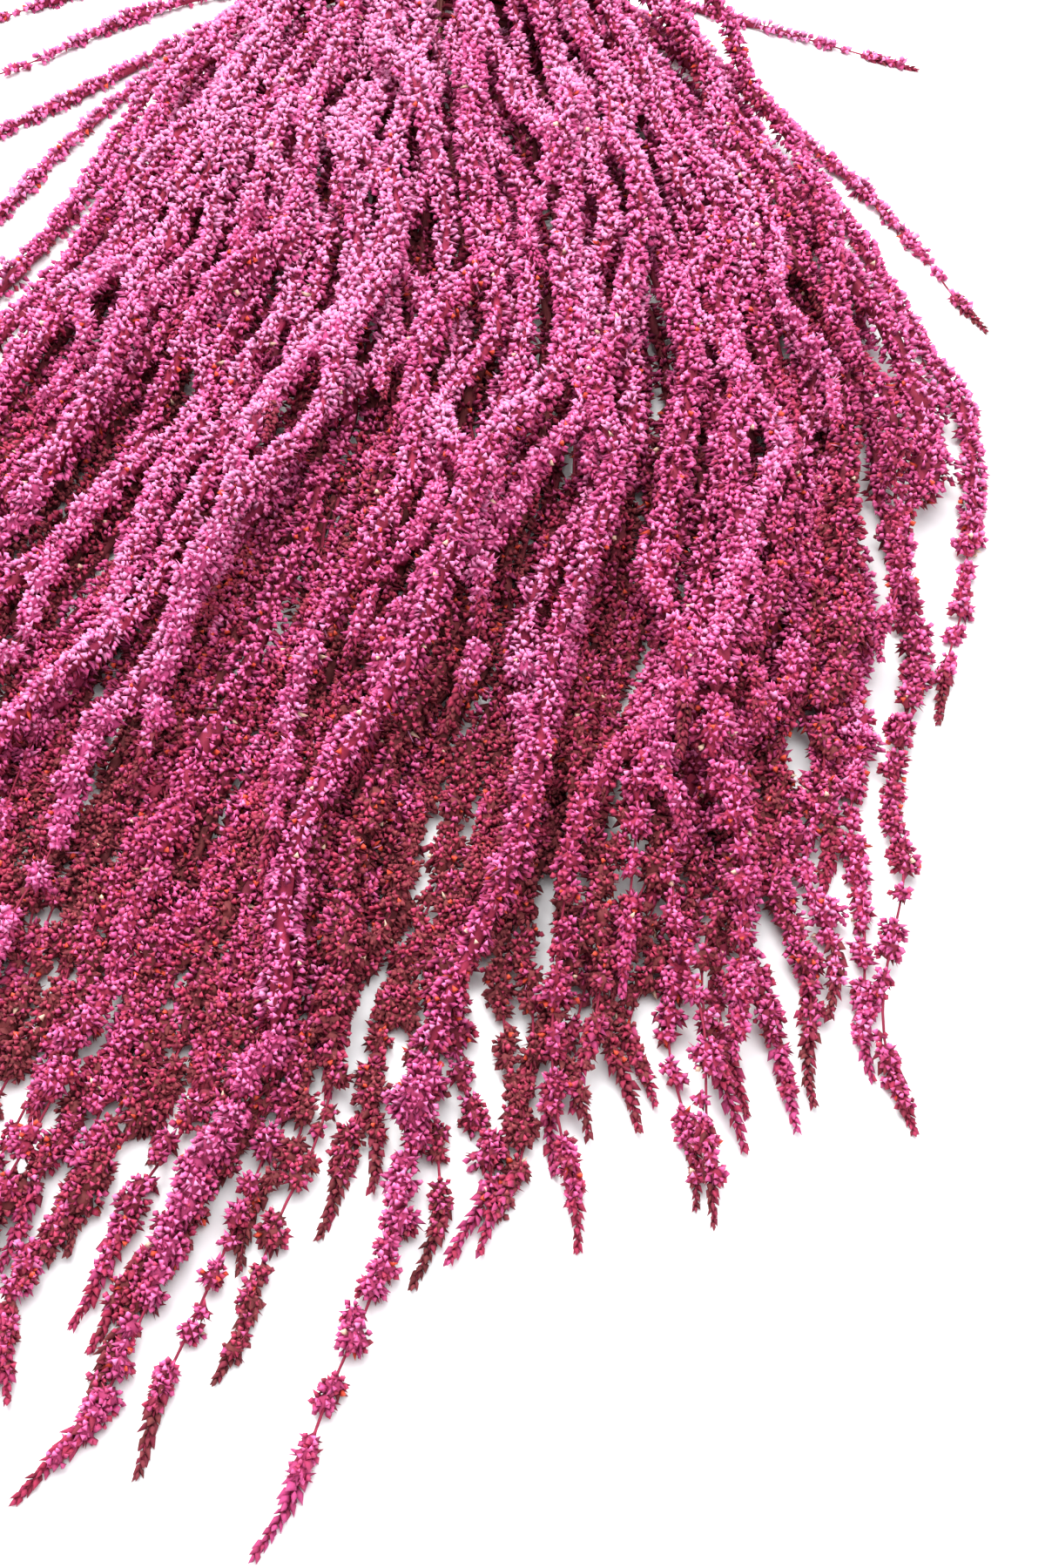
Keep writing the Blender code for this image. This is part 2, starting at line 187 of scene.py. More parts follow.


# %% [markdown]
# ## The florets' colour
#
# Florets on one tassel run from pale mauve to almost black wine, and a few are orange-red or tan. That is
# colour by floret, which a pattern in space can't give. So every floret gets a small place of its own on
# a map: across the map runs the tone, from dark to pale, and up the map runs the floret from its base to
# its tip. The material reads only that map, so a thousand florets of one tone share one patch of it. One
# ramp holds the colours of their bodies, and a second one the colours of a painted highlight on their tips.
# Each floret is also painted darker at its base, as painted shade, and lighter towards its tip.

# %% Floret material
FLORET_MAP = "OFBake"
MAROON, BROWN, WINE, CRIMSON, PURPLE, MAGENTA, ROSE, MAUVE, ORANGE, TAN = (
    0.02, 0.10, 0.20, 0.32, 0.44, 0.56, 0.70, 0.86, 0.93, 0.985,
)
MAUVE_ENDS, ORANGE_STARTS, ORANGE_ENDS, TAN_STARTS = 0.90, 0.91, 0.96, 0.97
TONES = (  # colour of a floret's body at each tone
    (MAROON, (0.060, 0.004, 0.010)),
    (BROWN, (0.250, 0.052, 0.058)),
    (WINE, (0.285, 0.032, 0.066)),
    (CRIMSON, (0.480, 0.040, 0.100)),
    (PURPLE, (0.500, 0.062, 0.190)),
    (MAGENTA, (0.700, 0.085, 0.280)),
    (ROSE, (0.860, 0.150, 0.410)),
    (MAUVE, (0.940, 0.320, 0.600)),
    (MAUVE_ENDS, (0.940, 0.320, 0.600)),
    (ORANGE_STARTS, (0.720, 0.075, 0.045)),
    (ORANGE_ENDS, (0.720, 0.075, 0.045)),
    (TAN_STARTS, (0.850, 0.560, 0.420)),
)
PAINTED_HIGHLIGHTS = (  # colour of the painted highlight on its tip
    (BROWN, (0.520, 0.130, 0.120)),
    (WINE, (0.550, 0.090, 0.140)),
    (CRIMSON, (0.800, 0.120, 0.210)),
    (PURPLE, (0.820, 0.190, 0.410)),
    (MAGENTA, (0.980, 0.270, 0.530)),
    (ROSE, (1.000, 0.400, 0.660)),
    (MAUVE_ENDS, (1.000, 0.400, 0.660)),
    (ORANGE_STARTS, (0.860, 0.190, 0.100)),
    (ORANGE_ENDS, (0.860, 0.190, 0.100)),
    (TAN_STARTS, (0.900, 0.680, 0.520)),
)
STREAKS = (160, 2, 0)  # streaks across a map and up it


def floret_material():
    """Papery florets: the tone picks the colour, with painted shade at the base and a painted highlight at
    the tip, and fine streaks.
    """
    material, graph, surface = new_material("florets")
    on_map = graph.node("ShaderNodeUVMap", {"uv_map": FLORET_MAP})
    tone = graph.node("ShaderNodeSeparateXYZ", (), {0: on_map}, "X")
    along = graph.node("ShaderNodeSeparateXYZ", (), {0: on_map}, "Y")
    colour = graph.node("ShaderNodeValToRGB", {"stops": TONES}, {0: tone})
    tip = graph.node("ShaderNodeValToRGB", {"stops": PAINTED_HIGHLIGHTS}, {0: tone})
    # painted shade and light: each floret is darker at its base, where florets crowd, and lighter at its tip
    painted_shading = graph.node(
        "ShaderNodeMapRange",
        {"interpolation_type": "SMOOTHSTEP"},
        {"Value": along, "From Min": 0.1, "From Max": 0.95, "To Min": 0.48, "To Max": 1.08},
    )
    # painted highlight: the tip of each floret is mixed towards a paler colour
    highlight_share = graph.node(
        "ShaderNodeMapRange",
        {"interpolation_type": "SMOOTHSTEP"},
        {"Value": along, "From Min": 0.62, "From Max": 1.0, "To Min": 0.0, "To Max": 0.48},
    )
    highlighted = graph.node(
        "ShaderNodeMix", {"data_type": "RGBA"}, {"Factor": highlight_share, "A": colour, "B": tip}, "Result"
    )
    stretched = graph.node("ShaderNodeVectorMath", {"operation": "MULTIPLY"}, {0: on_map, 1: STREAKS})
    streaks = graph.node(
        "ShaderNodeTexNoise", {"noise_dimensions": "2D"}, {"Vector": stretched, "Scale": 1.0, "Detail": 2.0}
    )
    light = painted_shading * (0.8 + 0.4 * streaks)
    shaded = graph.node("ShaderNodeVectorMath", {"operation": "SCALE"}, {0: highlighted, "Scale": light})
    graph.tree.links.new(shaded.socket, surface["Base Color"])
    graph.tree.links.new((0.88 - 0.16 * along).socket, surface["Roughness"])
    wrinkles = graph.node("ShaderNodeBump", (), {"Strength": 0.35, "Distance": 0.0002, "Height": streaks})
    graph.tree.links.new(wrinkles.socket, surface["Normal"])
    surface["Specular IOR Level"].default_value = 0.15
    return material


florets_finish = floret_material()
print("tones:", len(TONES))

# %% [markdown]
# ## The table
#
# A plain pale floor, a little rough, that isn't part of the object.

# %% Floor
sheet = bmesh.new()
bmesh.ops.create_grid(sheet, x_segments=1, y_segments=1, size=4.0)
floor_mesh = bpy.data.meshes.new("floor")
sheet.to_mesh(floor_mesh)
sheet.free()
floor = bpy.data.objects.new("floor", floor_mesh)
bpy.context.scene.collection.objects.link(floor)
floor_finish, _, floor_surface = new_material("white_table")
floor_surface["Base Color"].default_value = (0.90, 0.905, 0.91, 1.0)
floor_surface["Roughness"].default_value = 0.8
floor_mesh.materials.append(floor_finish)

# %% [markdown]
# ## Walking through a tassel
#
# Florets need to know where a tassel's middle runs and how thick it is. The solid doesn't say, but it
# can be asked: starting at the root, cut the solid with a plane, take the middle of the cut, step on in
# the direction walked so far, and cut again. Each cut also gives the thickness there.

# %% Centre line of a solid
STRIDE = 2 * MM
SLICE_REACH = 16 * MM  # farther off than this, the plane has cut another stretch of the tassel
STALK = 1.2 * MM  # radius of the bare stalk in the solids
ROOT_REACH = 2.2 * STALK  # the first ring's corners lie this near to one another
FIRST_STRETCH = (4 * MM, 18 * MM)  # from the root, where the first direction is read
LOOK_BACK = 4  # strides over which every later direction is read
TIP_REACH = 4 * STRIDE


def triangles_of(node_name):
    """The corners of a solid's triangles, as an array of triangle, corner and axis."""
    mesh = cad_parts[node_name].data
    mesh.calc_loop_triangles()
    corners = np.empty(len(mesh.vertices) * 3)
    mesh.vertices.foreach_get("co", corners)
    picks = np.empty(len(mesh.loop_triangles) * 3, np.int32)
    mesh.loop_triangles.foreach_get("vertices", picks)
    return corners.reshape(-1, 3)[picks.reshape(-1, 3)]


def cut_solid(triangles, point, direction):
    """Middle and greatest radius of the cut through a solid near a point, or None past its end."""
    height = (triangles - point) @ direction
    above = height > 0
    crossed = above.any(axis=1) & ~above.all(axis=1)
    triangles, height, above = triangles[crossed], height[crossed], above[crossed]
    if not len(triangles):
        return None
    ends = []
    for a, b in ((0, 1), (1, 2), (2, 0)):
        split = above[:, a] != above[:, b]
        share = np.where(split, height[:, a] / np.where(split, height[:, a] - height[:, b], 1.0), 0.0)
        at = triangles[:, a] + (triangles[:, b] - triangles[:, a]) * share[:, None]
        ends.append(np.where(split[:, None], at, np.nan))
    ends = np.stack(ends, axis=1)
    middles = np.nanmean(ends, axis=1)
    near = np.linalg.norm(middles - point, axis=1) < SLICE_REACH
    if not near.any():
        return None
    ends, middles = ends[near], middles[near]
    lengths = np.linalg.norm(np.nanmax(ends, axis=1) - np.nanmin(ends, axis=1), axis=1) + 1e-9
    middle = (middles * lengths[:, None]).sum(axis=0) / lengths.sum()
    return middle, float(np.nanmax(np.linalg.norm(ends - middle, axis=2)))


def walk_through(node_name):
    """The centre line of a solid, from its root to its tip, and its radius at each point."""
    triangles = triangles_of(node_name)
    corners = triangles.reshape(-1, 3)
    root = corners[corners[:, 1].argmax()]
    away = np.linalg.norm(corners - root, axis=1)
    line = [corners[away < ROOT_REACH].mean(axis=0)]
    radii = [STALK]
    first = (away > FIRST_STRETCH[0]) & (away < FIRST_STRETCH[1])
    ahead = corners[first].mean(axis=0) - line[0]
    ahead /= np.linalg.norm(ahead)
    while cut := cut_solid(triangles, line[-1] + ahead * STRIDE, ahead):
        line.append(cut[0])
        radii.append(cut[1])
        ahead = line[-1] - line[max(len(line) - 1 - LOOK_BACK, 0)]
        ahead /= np.linalg.norm(ahead)
    near = corners[np.linalg.norm(corners - line[-1], axis=1) < TIP_REACH]
    line.append(near[((near - line[-1]) @ ahead).argmax()])
    radii.append(0.0)
    return np.array(line), np.array(radii)


walked = {name: walk_through(name) for name in tassel_names}
stem_line, stem_radii = walk_through("stem")
print("centre lines:", round(sum(len(line) for line, _ in walked.values()) * STRIDE, 1), "m in all")

# %% [markdown]
# ## Habits
#
# Tassels of one kind have much in common. A habit holds what they share: how full they are, their tone, the
# depth of their lumps, how beaded they are at the crown and at the string, and how far they sway. Upper,
# lower and outer tassels have solids. Deep, fringe and between are three kinds of thin filling tassels.

# %% Habits of the cords
Habit = collections.namedtuple("Habit", "fill tone lumps beads sway")
HABITS = {
    "upper": Habit((0.70, 0.84), (0.64, 0.80), 0.42, (0.20, 0.50), 7 * MM),
    "lower": Habit((0.70, 0.86), (0.06, 0.50), 0.72, (0.30, 0.90), 8 * MM),
    "outer": Habit((1.08, 1.22), (0.50, 0.58), 0.55, (0.25, 0.60), 0.0),
    # the deep tassels' dark tones are painted shade for the depth of the head
    "deep": Habit((1.10, 1.30), (0.08, 0.32), 0.60, (0.20, 0.60), 9 * MM),
    "fringe": Habit((0.85, 1.05), (0.03, 0.42), 0.66, (0.30, 0.90), 16 * MM),
    "between": Habit((0.95, 1.15), (0.56, 0.74), 0.45, (0.25, 0.60), 18 * MM),
    "stem": Habit((0.96, 0.96), (0.0, 0.0), 0.0, (0.0, 0.0), 0.0),
}
print("habits:", ", ".join(HABITS))

# %% [markdown]
# ## A cord
#
# Before anything is planted, each tassel becomes a cord: its centre line, smoothed and made to sway, with
# the way ahead, the way to the side and the way up at each point. Its girth is the radius that florets are
# planted on. Slow noise makes it swell and thin, and beads it more and more towards the clusters.

# %% A centre line to plant on
SPIKE_LENGTH = 24 * MM
SWELL_END = 54 * MM  # from the root to the full cord
BARE_ROOT = 9 * MM  # of the stalk, where no florets grow
GIRTH_WAVES = 0.22  # how far a cord swells and thins along its length
GIRTH_PITCH, BEAD_PITCH, SWAY_PITCH = 38 * MM, 10 * MM, 60 * MM
LOOSENING = 210 * MM  # the stretch over which a cord gets more and more beaded
CALMING = 90  # rounds of smoothing, which take the solid's small kinks out of the line


def noise_at(points, size):
    """Slow noise, from about -0.7 to 0.7, at each point."""
    scaled = (points / size).tolist()
    return np.array([noise.noise(Vector(point)) for point in scaled])


class Cord:
    """A centre line with what is needed to plant florets round it."""

    def __init__(self, name, line, radii, habit):
        self.name = name
        self.habit = habit
        self.tone = dice.uniform(*HABITS[habit].tone)
        self.fill = dice.uniform(*HABITS[habit].fill)
        self.lumps = HABITS[habit].lumps
        for _ in range(CALMING):
            line[1:-1] = (line[:-2] + 2 * line[1:-1] + line[2:]) / 4
        steps = np.arange(len(line)) * STRIDE
        slow = np.column_stack([steps, np.full(len(line), line[-1].sum()), np.zeros(len(line))])
        calm_ends = np.clip(steps / SWELL_END, 0, 1) * np.clip((steps[-1] - steps) / SPIKE_LENGTH, 0, 1)
        line[:, 0] += HABITS[habit].sway * noise_at(slow, SWAY_PITCH) * calm_ends
        self.line = line
        self.along = np.concatenate([[0.0], np.cumsum(np.linalg.norm(np.diff(line, axis=0), axis=1))])
        self.length = float(self.along[-1])
        self.ahead = np.gradient(line, axis=0)
        self.ahead /= np.linalg.norm(self.ahead, axis=1)[:, None]
        self.side = np.cross(self.ahead, UP)
        self.side /= np.linalg.norm(self.side, axis=1)[:, None]
        self.over = np.cross(self.side, self.ahead)
        self.radii = radii
        self.full_end = self.length - SPIKE_LENGTH
        self.bare = BARE_ROOT
        self.clusters = []

    def at(self, along, values):
        """Values given at the line's points, read at other distances along it."""
        if values.ndim == 1:
            return np.interp(along, self.along, values)
        return np.stack([np.interp(along, self.along, axis) for axis in values.T], axis=-1)

    def girth(self, along):
        """Radius of the planted surface: it swells and thins slowly, and gets beaded near the string."""
        own = np.column_stack([along, along * 0 + self.length, along * 0])
        loosening = np.clip(1 - (self.full_end - along) / LOOSENING, 0, 1)
        beads = np.interp(loosening, (0, 1), HABITS[self.habit].beads) * noise_at(own, BEAD_PITCH)
        waves = GIRTH_WAVES * noise_at(own, GIRTH_PITCH)
        return self.at(along, self.radii) * self.fill * (1 + waves + beads)

    def outward(self, along, turn):
        """Directions that point away from the line, at a distance along it and a turn round it."""
        turn = np.asarray(turn)[..., None]
        return self.at(along, self.side) * np.cos(turn) + self.at(along, self.over) * np.sin(turn)


# %% [markdown]
# ## What a tassel is like along its length
#
# A tassel starts as a bare stalk, swells into a full cord, loosens into separate clusters, and ends in a
# pointed spike. The thickness tells these stretches apart: the first deep waist after the full cord is
# where the clusters begin, and every bulge after it is one cluster.

# %% Stretches of a cord
STALK_END = 12 * MM
WAIST_SHARE = 0.60  # a waist thinner than this share of the full cord starts the clusters
BULGE_SHARE = 1.25  # a bulge is thicker than this share of the waists beside it
BULGE_REACH = 3  # points to either side in which those waists are looked for
LAST_CLUSTER = 0.8 * SPIKE_LENGTH  # it lies farther than this from the tip
FULL_REACH = 4  # points to either side from which a full cord takes its largest radius


def widest_near(radii, reach):
    """At each point the largest radius within reach points of it, smoothed."""
    padded = np.pad(radii, reach, mode="edge")
    widest = np.lib.stride_tricks.sliding_window_view(padded, 2 * reach + 1).max(axis=1)
    kernel = np.hanning(2 * reach + 3)
    return np.convolve(np.pad(widest, reach + 1, mode="edge"), kernel / kernel.sum(), mode="valid")


def read_cord(name):
    """The cord of one tassel solid, with its full stretch and its clusters found."""
    line, radii = walked[name]
    cord = Cord(name, line.copy(), radii, name.split("_")[0])
    grown = cord.along > SWELL_END
    loose = grown & (cord.along < cord.full_end) & (radii < WAIST_SHARE * np.median(radii[grown]))
    if loose.any():
        cord.full_end = float(cord.along[loose.argmax()])
    for i in range(BULGE_REACH, len(radii) - BULGE_REACH):
        beside = radii[i - BULGE_REACH : i + BULGE_REACH + 1]
        in_string = cord.full_end < cord.along[i] < cord.length - LAST_CLUSTER
        if in_string and radii[i] == beside.max() and radii[i] > BULGE_SHARE * beside.min():
            cord.clusters.append((float(cord.along[i]), float(radii[i])))
    inside = cord.along <= cord.full_end
    cord.radii = radii.copy()
    cord.radii[inside] = widest_near(radii[inside], FULL_REACH)
    cord.radii[cord.along < STALK_END] = STALK
    return cord


LOWER_TONES = (  # of the lower tassels, from left to right
    0.34, 0.46, 0.22, 0.40, 0.16, 0.44, 0.28, 0.36, 0.44, 0.47, 0.48, 0.26, 0.14,
    0.20, 0.40, 0.18, 0.24, 0.26, 0.38, 0.46, 0.50, 0.30, 0.42, 0.48, 0.50, 0.40,
)
EDGE_TONE = 0.35  # how much darker the upper cords at the edges of the head are
HALF_WIDTH = 150 * MM
BLUNT = "outer_tassel_01"  # this one ends in a broad lump and has no spike
BLUNT_END = 5 * MM
cords = [read_cord(name) for name in tassel_names]
for cord in cords:
    if cord.habit == "lower":
        cord.tone = LOWER_TONES[int(cord.name[-2:]) - 1]
    if cord.habit == "upper":
        across = cord.at(np.array([cord.length / 2]), cord.line)[0, 0]
        cord.tone -= EDGE_TONE * min(abs(across) / HALF_WIDTH, 1) ** 1.5
    if cord.name == BLUNT:
        cord.clusters = []
        cord.full_end = cord.length - BLUNT_END
        cord.radii = widest_near(walked[BLUNT][1], FULL_REACH)
        cord.radii[cord.along < STALK_END] = STALK
print("clusters:", sum(len(cord.clusters) for cord in cords))

# %% [markdown]
# ## Thin tassels between the others
#
# The real head has more tassels than the solids, and thinner ones fill the gaps between them. Each of
# these runs between two neighbours of one layer, from the stem on, and sways a little on its own. Dark
# ones fill the depth of the head, where their dark tones are painted shade, long ones its fringe, and pale
# ones lie between the upper tassels. None reaches much farther than its neighbours, so they add next to
# nothing to the outline of the head.

# %% A thin cord between two others
FILLER_RADIUS = 3.9 * MM
FILLER_LIFT = {"deep": -3 * MM, "fringe": -2 * MM, "between": 1.5 * MM}
FILLER_STALK = 14 * MM
FILLER_STRING = 110 * MM  # length of the loose stretch at its end
FILLER_TAPER = (0.22, 0.22, 1.15, 1.0, 0.6)  # at the root, and where stalk, swelling, cord and string end
CLUSTER_PITCH = 14 * MM
CLUSTER_SHARES = (0.95, 1.35)
TIP_POINTS = 20  # points at the end of a line that give its last direction
PALE_SIDE = (60 * MM, 110 * MM)  # across the head, where the fringe turns paler
PALE_TONE = 0.16


def straight_on(cord, steps):
    """A cord's centre line at these distances, going straight on past its tip."""
    last = cord.line[-1] - cord.line[-TIP_POINTS]
    past = np.maximum(steps - cord.length, 0.0)
    return cord.at(steps, cord.line) + past[:, None] * last / np.linalg.norm(last)


def filler_between(first, second, number, habit, share, lean, bare):
    """A thin cord between two others. lean is 0 beside the first of them and 1 beside the second."""
    length = min(first.length, second.length) * share
    if habit == "fringe":
        length = (first.length * (1 - lean) + second.length * lean) * share
    steps = np.arange(0.0, length, STRIDE)
    line = straight_on(first, steps) * (1 - lean) + straight_on(second, steps) * lean
    marks = (0, FILLER_STALK, SWELL_END, length - FILLER_STRING, length)
    radii = FILLER_RADIUS * np.interp(steps, marks, FILLER_TAPER)
    line[:, 2] = np.maximum(line[:, 2] + FILLER_LIFT[habit], radii)
    cord = Cord(f"filling_tassel_{number:02d}", line, radii, habit)
    cord.full_end = cord.length - FILLER_STRING
    cord.bare = bare
    if habit == "fringe":
        cord.tone += PALE_TONE * np.interp(line[-1, 0], PALE_SIDE, (0, 1))
    for along in np.arange(cord.full_end + 4 * MM, cord.length - SPIKE_LENGTH, CLUSTER_PITCH):
        shift = dice.uniform(-2, 2) * MM
        cord.clusters.append((along + shift, FILLER_RADIUS * dice.uniform(*CLUSTER_SHARES)))
    return cord


# %% [markdown]
# ## Filling the gaps
#
# A layer's neighbours are sorted across the head, and the width of each gap says how many thin cords it
# gets and where they lean. The real fringe thins out towards its tips, so its fillers come in three lots,
# each of cords that reach farther down, and their upper part, which is hidden, stays bare.

# %% Filling tassels
FREE_EDGE = "lower_tassel_26"  # this one hangs free of its neighbour
FREE_GAP = 20 * MM  # narrower than this, the gap beside it stays empty
EDGE_LEAN = 0.72  # and cords in a wider one keep to its other side
LEANS = ((), (0.5,), (0.35, 0.7), (0.25, 0.5, 0.75), (0.2, 0.4, 0.6, 0.8))  # of none to four cords


def across_at(cord, y):
    """Where a cord is across the head when it first comes down to y."""
    below = cord.line[:, 1] < y
    return cord.line[below.argmax() if below.any() else -1, 0]


def fill_gaps(kind, down, leans_of, habit, share, bare=BARE_ROOT):
    """Adds thin cords between neighbours of one kind that reach a distance down, sorted across there."""
    y = float(stem_low[1]) - down
    layer = [cord for cord in cords if cord.name.startswith(kind) and cord.line[-1, 1] < y]
    layer.sort(key=lambda cord: across_at(cord, y))
    for first, second in zip(layer, layer[1:]):
        gap = across_at(second, y) - across_at(first, y)
        leans = np.array(leans_of(gap / MM))
        if second.name == FREE_EDGE:
            leans = EDGE_LEAN * leans if gap > FREE_GAP else ()
        for lean in leans:
            number, length = len(fillers) + 1, dice.uniform(*share)
            fillers.append(filler_between(first, second, number, habit, length, lean, bare))


def by_width(*widths):
    """One more cord in a gap for each of these widths, in mm, that it exceeds."""
    return lambda gap: LEANS[int(np.searchsorted(widths, gap))]


def at_pitch(pitch):
    """A cord at every pitch, in mm, across a gap."""
    return lambda gap: np.arange(1, gap // pitch) / (gap // pitch)


fillers = []
fill_gaps("lower", 330 * MM, lambda gap: (0.34, 0.67) if gap > 17 else (0.5,), "deep", (0.72, 1.0))
fill_gaps("lower", 450 * MM, at_pitch(9), "fringe", (0.84, 1.0), bare=300 * MM)
fill_gaps("lower", 550 * MM, by_width(9, 16, 25, 33), "fringe", (0.90, 1.02), bare=380 * MM)
fill_gaps("lower", 600 * MM, by_width(12, 22, 33, 45), "fringe", (0.92, 1.03), bare=420 * MM)
fill_gaps("upper", 200 * MM, by_width(9), "between", (0.50, 0.95))
print(len(fillers), "filling tassels,", round(sum(cord.length for cord in fillers), 1), "m")

# %% [markdown]
# ## One floret, one bract
#
# A floret is a closed spindle, and a bract or a pointed bud is a cone. With so many copies each may have
# only a few faces, so they have three or four sides, and smooth shading makes them look round.


# %% Little shapes to copy
class Shape:
    """The corners and triangles of a little shape, read from a bmesh."""

    def __init__(self, bm):
        bmesh.ops.triangulate(bm, faces=bm.faces)
        bmesh.ops.recalc_face_normals(bm, faces=bm.faces)
        bm.verts.index_update()
        self.corners = np.array([vert.co for vert in bm.verts])
        self.faces = np.array([[vert.index for vert in face.verts] for face in bm.faces])
        bm.free()


def spindle(sides, widest, flat=1.0):
    """A closed spindle of width and height 1, from its base at z = 0 to its tip at z = 1."""
    bm = bmesh.new()
    bmesh.ops.create_uvsphere(bm, u_segments=sides, v_segments=2, radius=0.5)
    ring = [vert for vert in bm.verts if abs(vert.co.z) < 0.1]
    bmesh.ops.translate(bm, verts=ring, vec=(0.0, 0.0, widest - 0.5))
    bmesh.ops.translate(bm, verts=bm.verts, vec=(0.0, 0.0, 0.5))
    bmesh.ops.scale(bm, verts=bm.verts, vec=(1.0, flat, 1.0))
    return Shape(bm)


def cone(sides):
    """A cone of width and height 1 that stands on z = 0."""
    bm = bmesh.new()
    bmesh.ops.create_cone(bm, cap_ends=True, segments=sides, radius1=0.5, radius2=0.0, depth=1.0)
    bmesh.ops.translate(bm, verts=bm.verts, vec=(0.0, 0.0, 0.5))
    return Shape(bm)


GRAIN = spindle(3, widest=0.64)
BALL = spindle(4, widest=0.5)
BRACT = cone(3)
SCALE = spindle(4, widest=0.42, flat=0.6)
print("faces of a floret, ball, bract, scale:", [len(shape.faces) for shape in (GRAIN, BALL, BRACT, SCALE)])

# %% [markdown]
# ## A tube along a line
#
# The stalks, the stem and the plain tubes of the next step are all made alike: a flat grid is rolled up
# round a centre line, and its seam is merged.

# %% Rolling up a grid
def rolled_tube(stations, sides, place):
    """A tube. place(number of station, step round it) gives a corner and its tone."""
    bm = bmesh.new()
    toned = bm.verts.layers.float.new("tone")
    bmesh.ops.create_grid(bm, x_segments=len(stations) - 1, y_segments=sides, size=1.0)
    for vert in bm.verts:
        station = round((vert.co.x + 1) / 2 * (len(stations) - 1))
        step = round((vert.co.y + 1) / 2 * sides) % sides
        vert.co, vert[toned] = place(station, step)
    bmesh.ops.remove_doubles(bm, verts=bm.verts, dist=1e-6)
    tones = np.array([vert[toned] for vert in bm.verts])
    return Shape(bm), tones


# %% [markdown]
# ## What stands in the light
#
# Most of a cord lies against its neighbours or on the table, where florets would never be seen. To find
# these places, every cord is first made as a plain tube. All the tubes go into one search tree, which finds
# what a ray meets without a look at every triangle.

# %% Tubes in a search tree
TEST_PITCH = 8 * MM
TEST_SIDES = 6
TEST_SHARE = 0.85  # radius of a tube, as a share of its cord's


def outer_tube(cord):
    """A tube a little inside a cord's florets: its corners and faces."""
    stations = np.arange(1 * MM, cord.length, TEST_PITCH)
    middle, thick = cord.at(stations, cord.line), TEST_SHARE * cord.girth(stations)
    around = [cord.outward(stations, 2 * math.pi * step / TEST_SIDES) for step in range(TEST_SIDES)]

    def place(i, step):
        return middle[i] + around[step][i] * thick[i], 0.0

    shape, _ = rolled_tube(stations, TEST_SIDES, place)
    return shape.corners, shape.faces


def search_tree(tubes):
    """All tubes in one search tree for rays."""
    offsets = np.cumsum([0] + [len(corners) for corners, _ in tubes])
    corners = np.concatenate([corners for corners, _ in tubes])
    faces = np.concatenate([faces + offset for (_, faces), offset in zip(tubes, offsets)])
    return BVHTree.FromPolygons(corners.tolist(), faces.tolist(), all_triangles=True)


outer_tubes = [outer_tube(cord) for cord in cords + fillers]
in_the_way = search_tree(outer_tubes)
print("faces that rays may meet:", sum(len(faces) for _, faces in outer_tubes))

# %% [markdown]
# ## Seen or hidden
#
# Rays sent out from a cord towards the sky tell how open each place on it is. Open places get all their
# florets, in tones painted paler as painted light, and hidden places are painted darker as painted shade.
# A place right beside an open one gets half of them, and a place that sees no sky gets hardly any.

# %% Rays towards the sky
ROUND = 8  # places round a cord that are tested
SKY = np.array(
    [(0.0, 0.0, 1.0)]
    + [
        (math.cos(turn) * math.cos(up), math.sin(turn) * math.cos(up), math.sin(up))
        for up in (math.radians(55), math.radians(22))
        for turn in np.arange(6) * math.pi / 3
    ]
)
RAY_START, RAY_REACH = 1.2 * MM, 120 * MM
GRAZING = 0.15  # a ray flatter to the surface than this isn't sent
ALL_OPEN = 5.0  # rays that get away from a fully open place
NEXT_TO_OPEN = 0.30  # openness of a hidden place beside an open one
UNDERNEATH = -0.5  # a place that faces farther down than this stays hidden


def find_openness(cord):
    """How much sky each place of a cord sees, from 0 to 1, by distance along it and turn round it."""
    stations = np.arange(0.0, cord.length + TEST_PITCH, TEST_PITCH)
    middle, radius = cord.at(stations, cord.line), cord.girth(stations)
    openness = np.zeros((len(stations), ROUND))
    for place in range(ROUND):
        outward = cord.outward(stations, 2 * math.pi * place / ROUND)
        start = middle + outward * (radius + RAY_START)[:, None]
        facing = outward @ SKY.T > GRAZING
        for i, j in zip(*np.nonzero(facing)):
            hit = in_the_way.ray_cast(start[i].tolist(), SKY[j].tolist(), RAY_REACH)
            openness[i, place] += hit[0] is None
    openness = np.minimum(openness / ALL_OPEN, 1.0)
    beside = np.maximum(np.roll(openness, 1, axis=1), np.roll(openness, -1, axis=1))
    beside = np.pad(np.maximum(openness, beside), ((1, 1), (0, 0)), mode="edge")
    beside = np.maximum(np.maximum(beside[:-2], beside[2:]), beside[1:-1])
    upper_side = np.sin(2 * math.pi * np.arange(ROUND) / ROUND) > UNDERNEATH
    return np.maximum(openness, NEXT_TO_OPEN * beside * upper_side)


def look_up(cord, along, turn):
    """The openness at places along and round a cord."""
    station = np.clip(np.rint(along / TEST_PITCH).astype(int), 0, len(cord.openness) - 1)
    slot = np.rint((turn % (2 * math.pi)) / (2 * math.pi) * ROUND).astype(int) % ROUND
    return cord.openness[station, slot]


for cord in cords + fillers:
    cord.openness = find_openness(cord)
print("mean openness", round(float(np.mean([cord.openness.mean() for cord in cords])), 3))

# %% [markdown]
# ## Lists of places
#
# A floret is never an object of its own. Each little shape has a list of places instead, with a base, a
# direction, a width, a length and a tone for every copy. A cord fills one list for each kind: grains are
# plump florets, buds are pointed ones, cores fill the clusters, and scales cover the spike.

# %% Places of each kind
Kinds = collections.namedtuple("Kinds", "grains buds bracts cores scales")


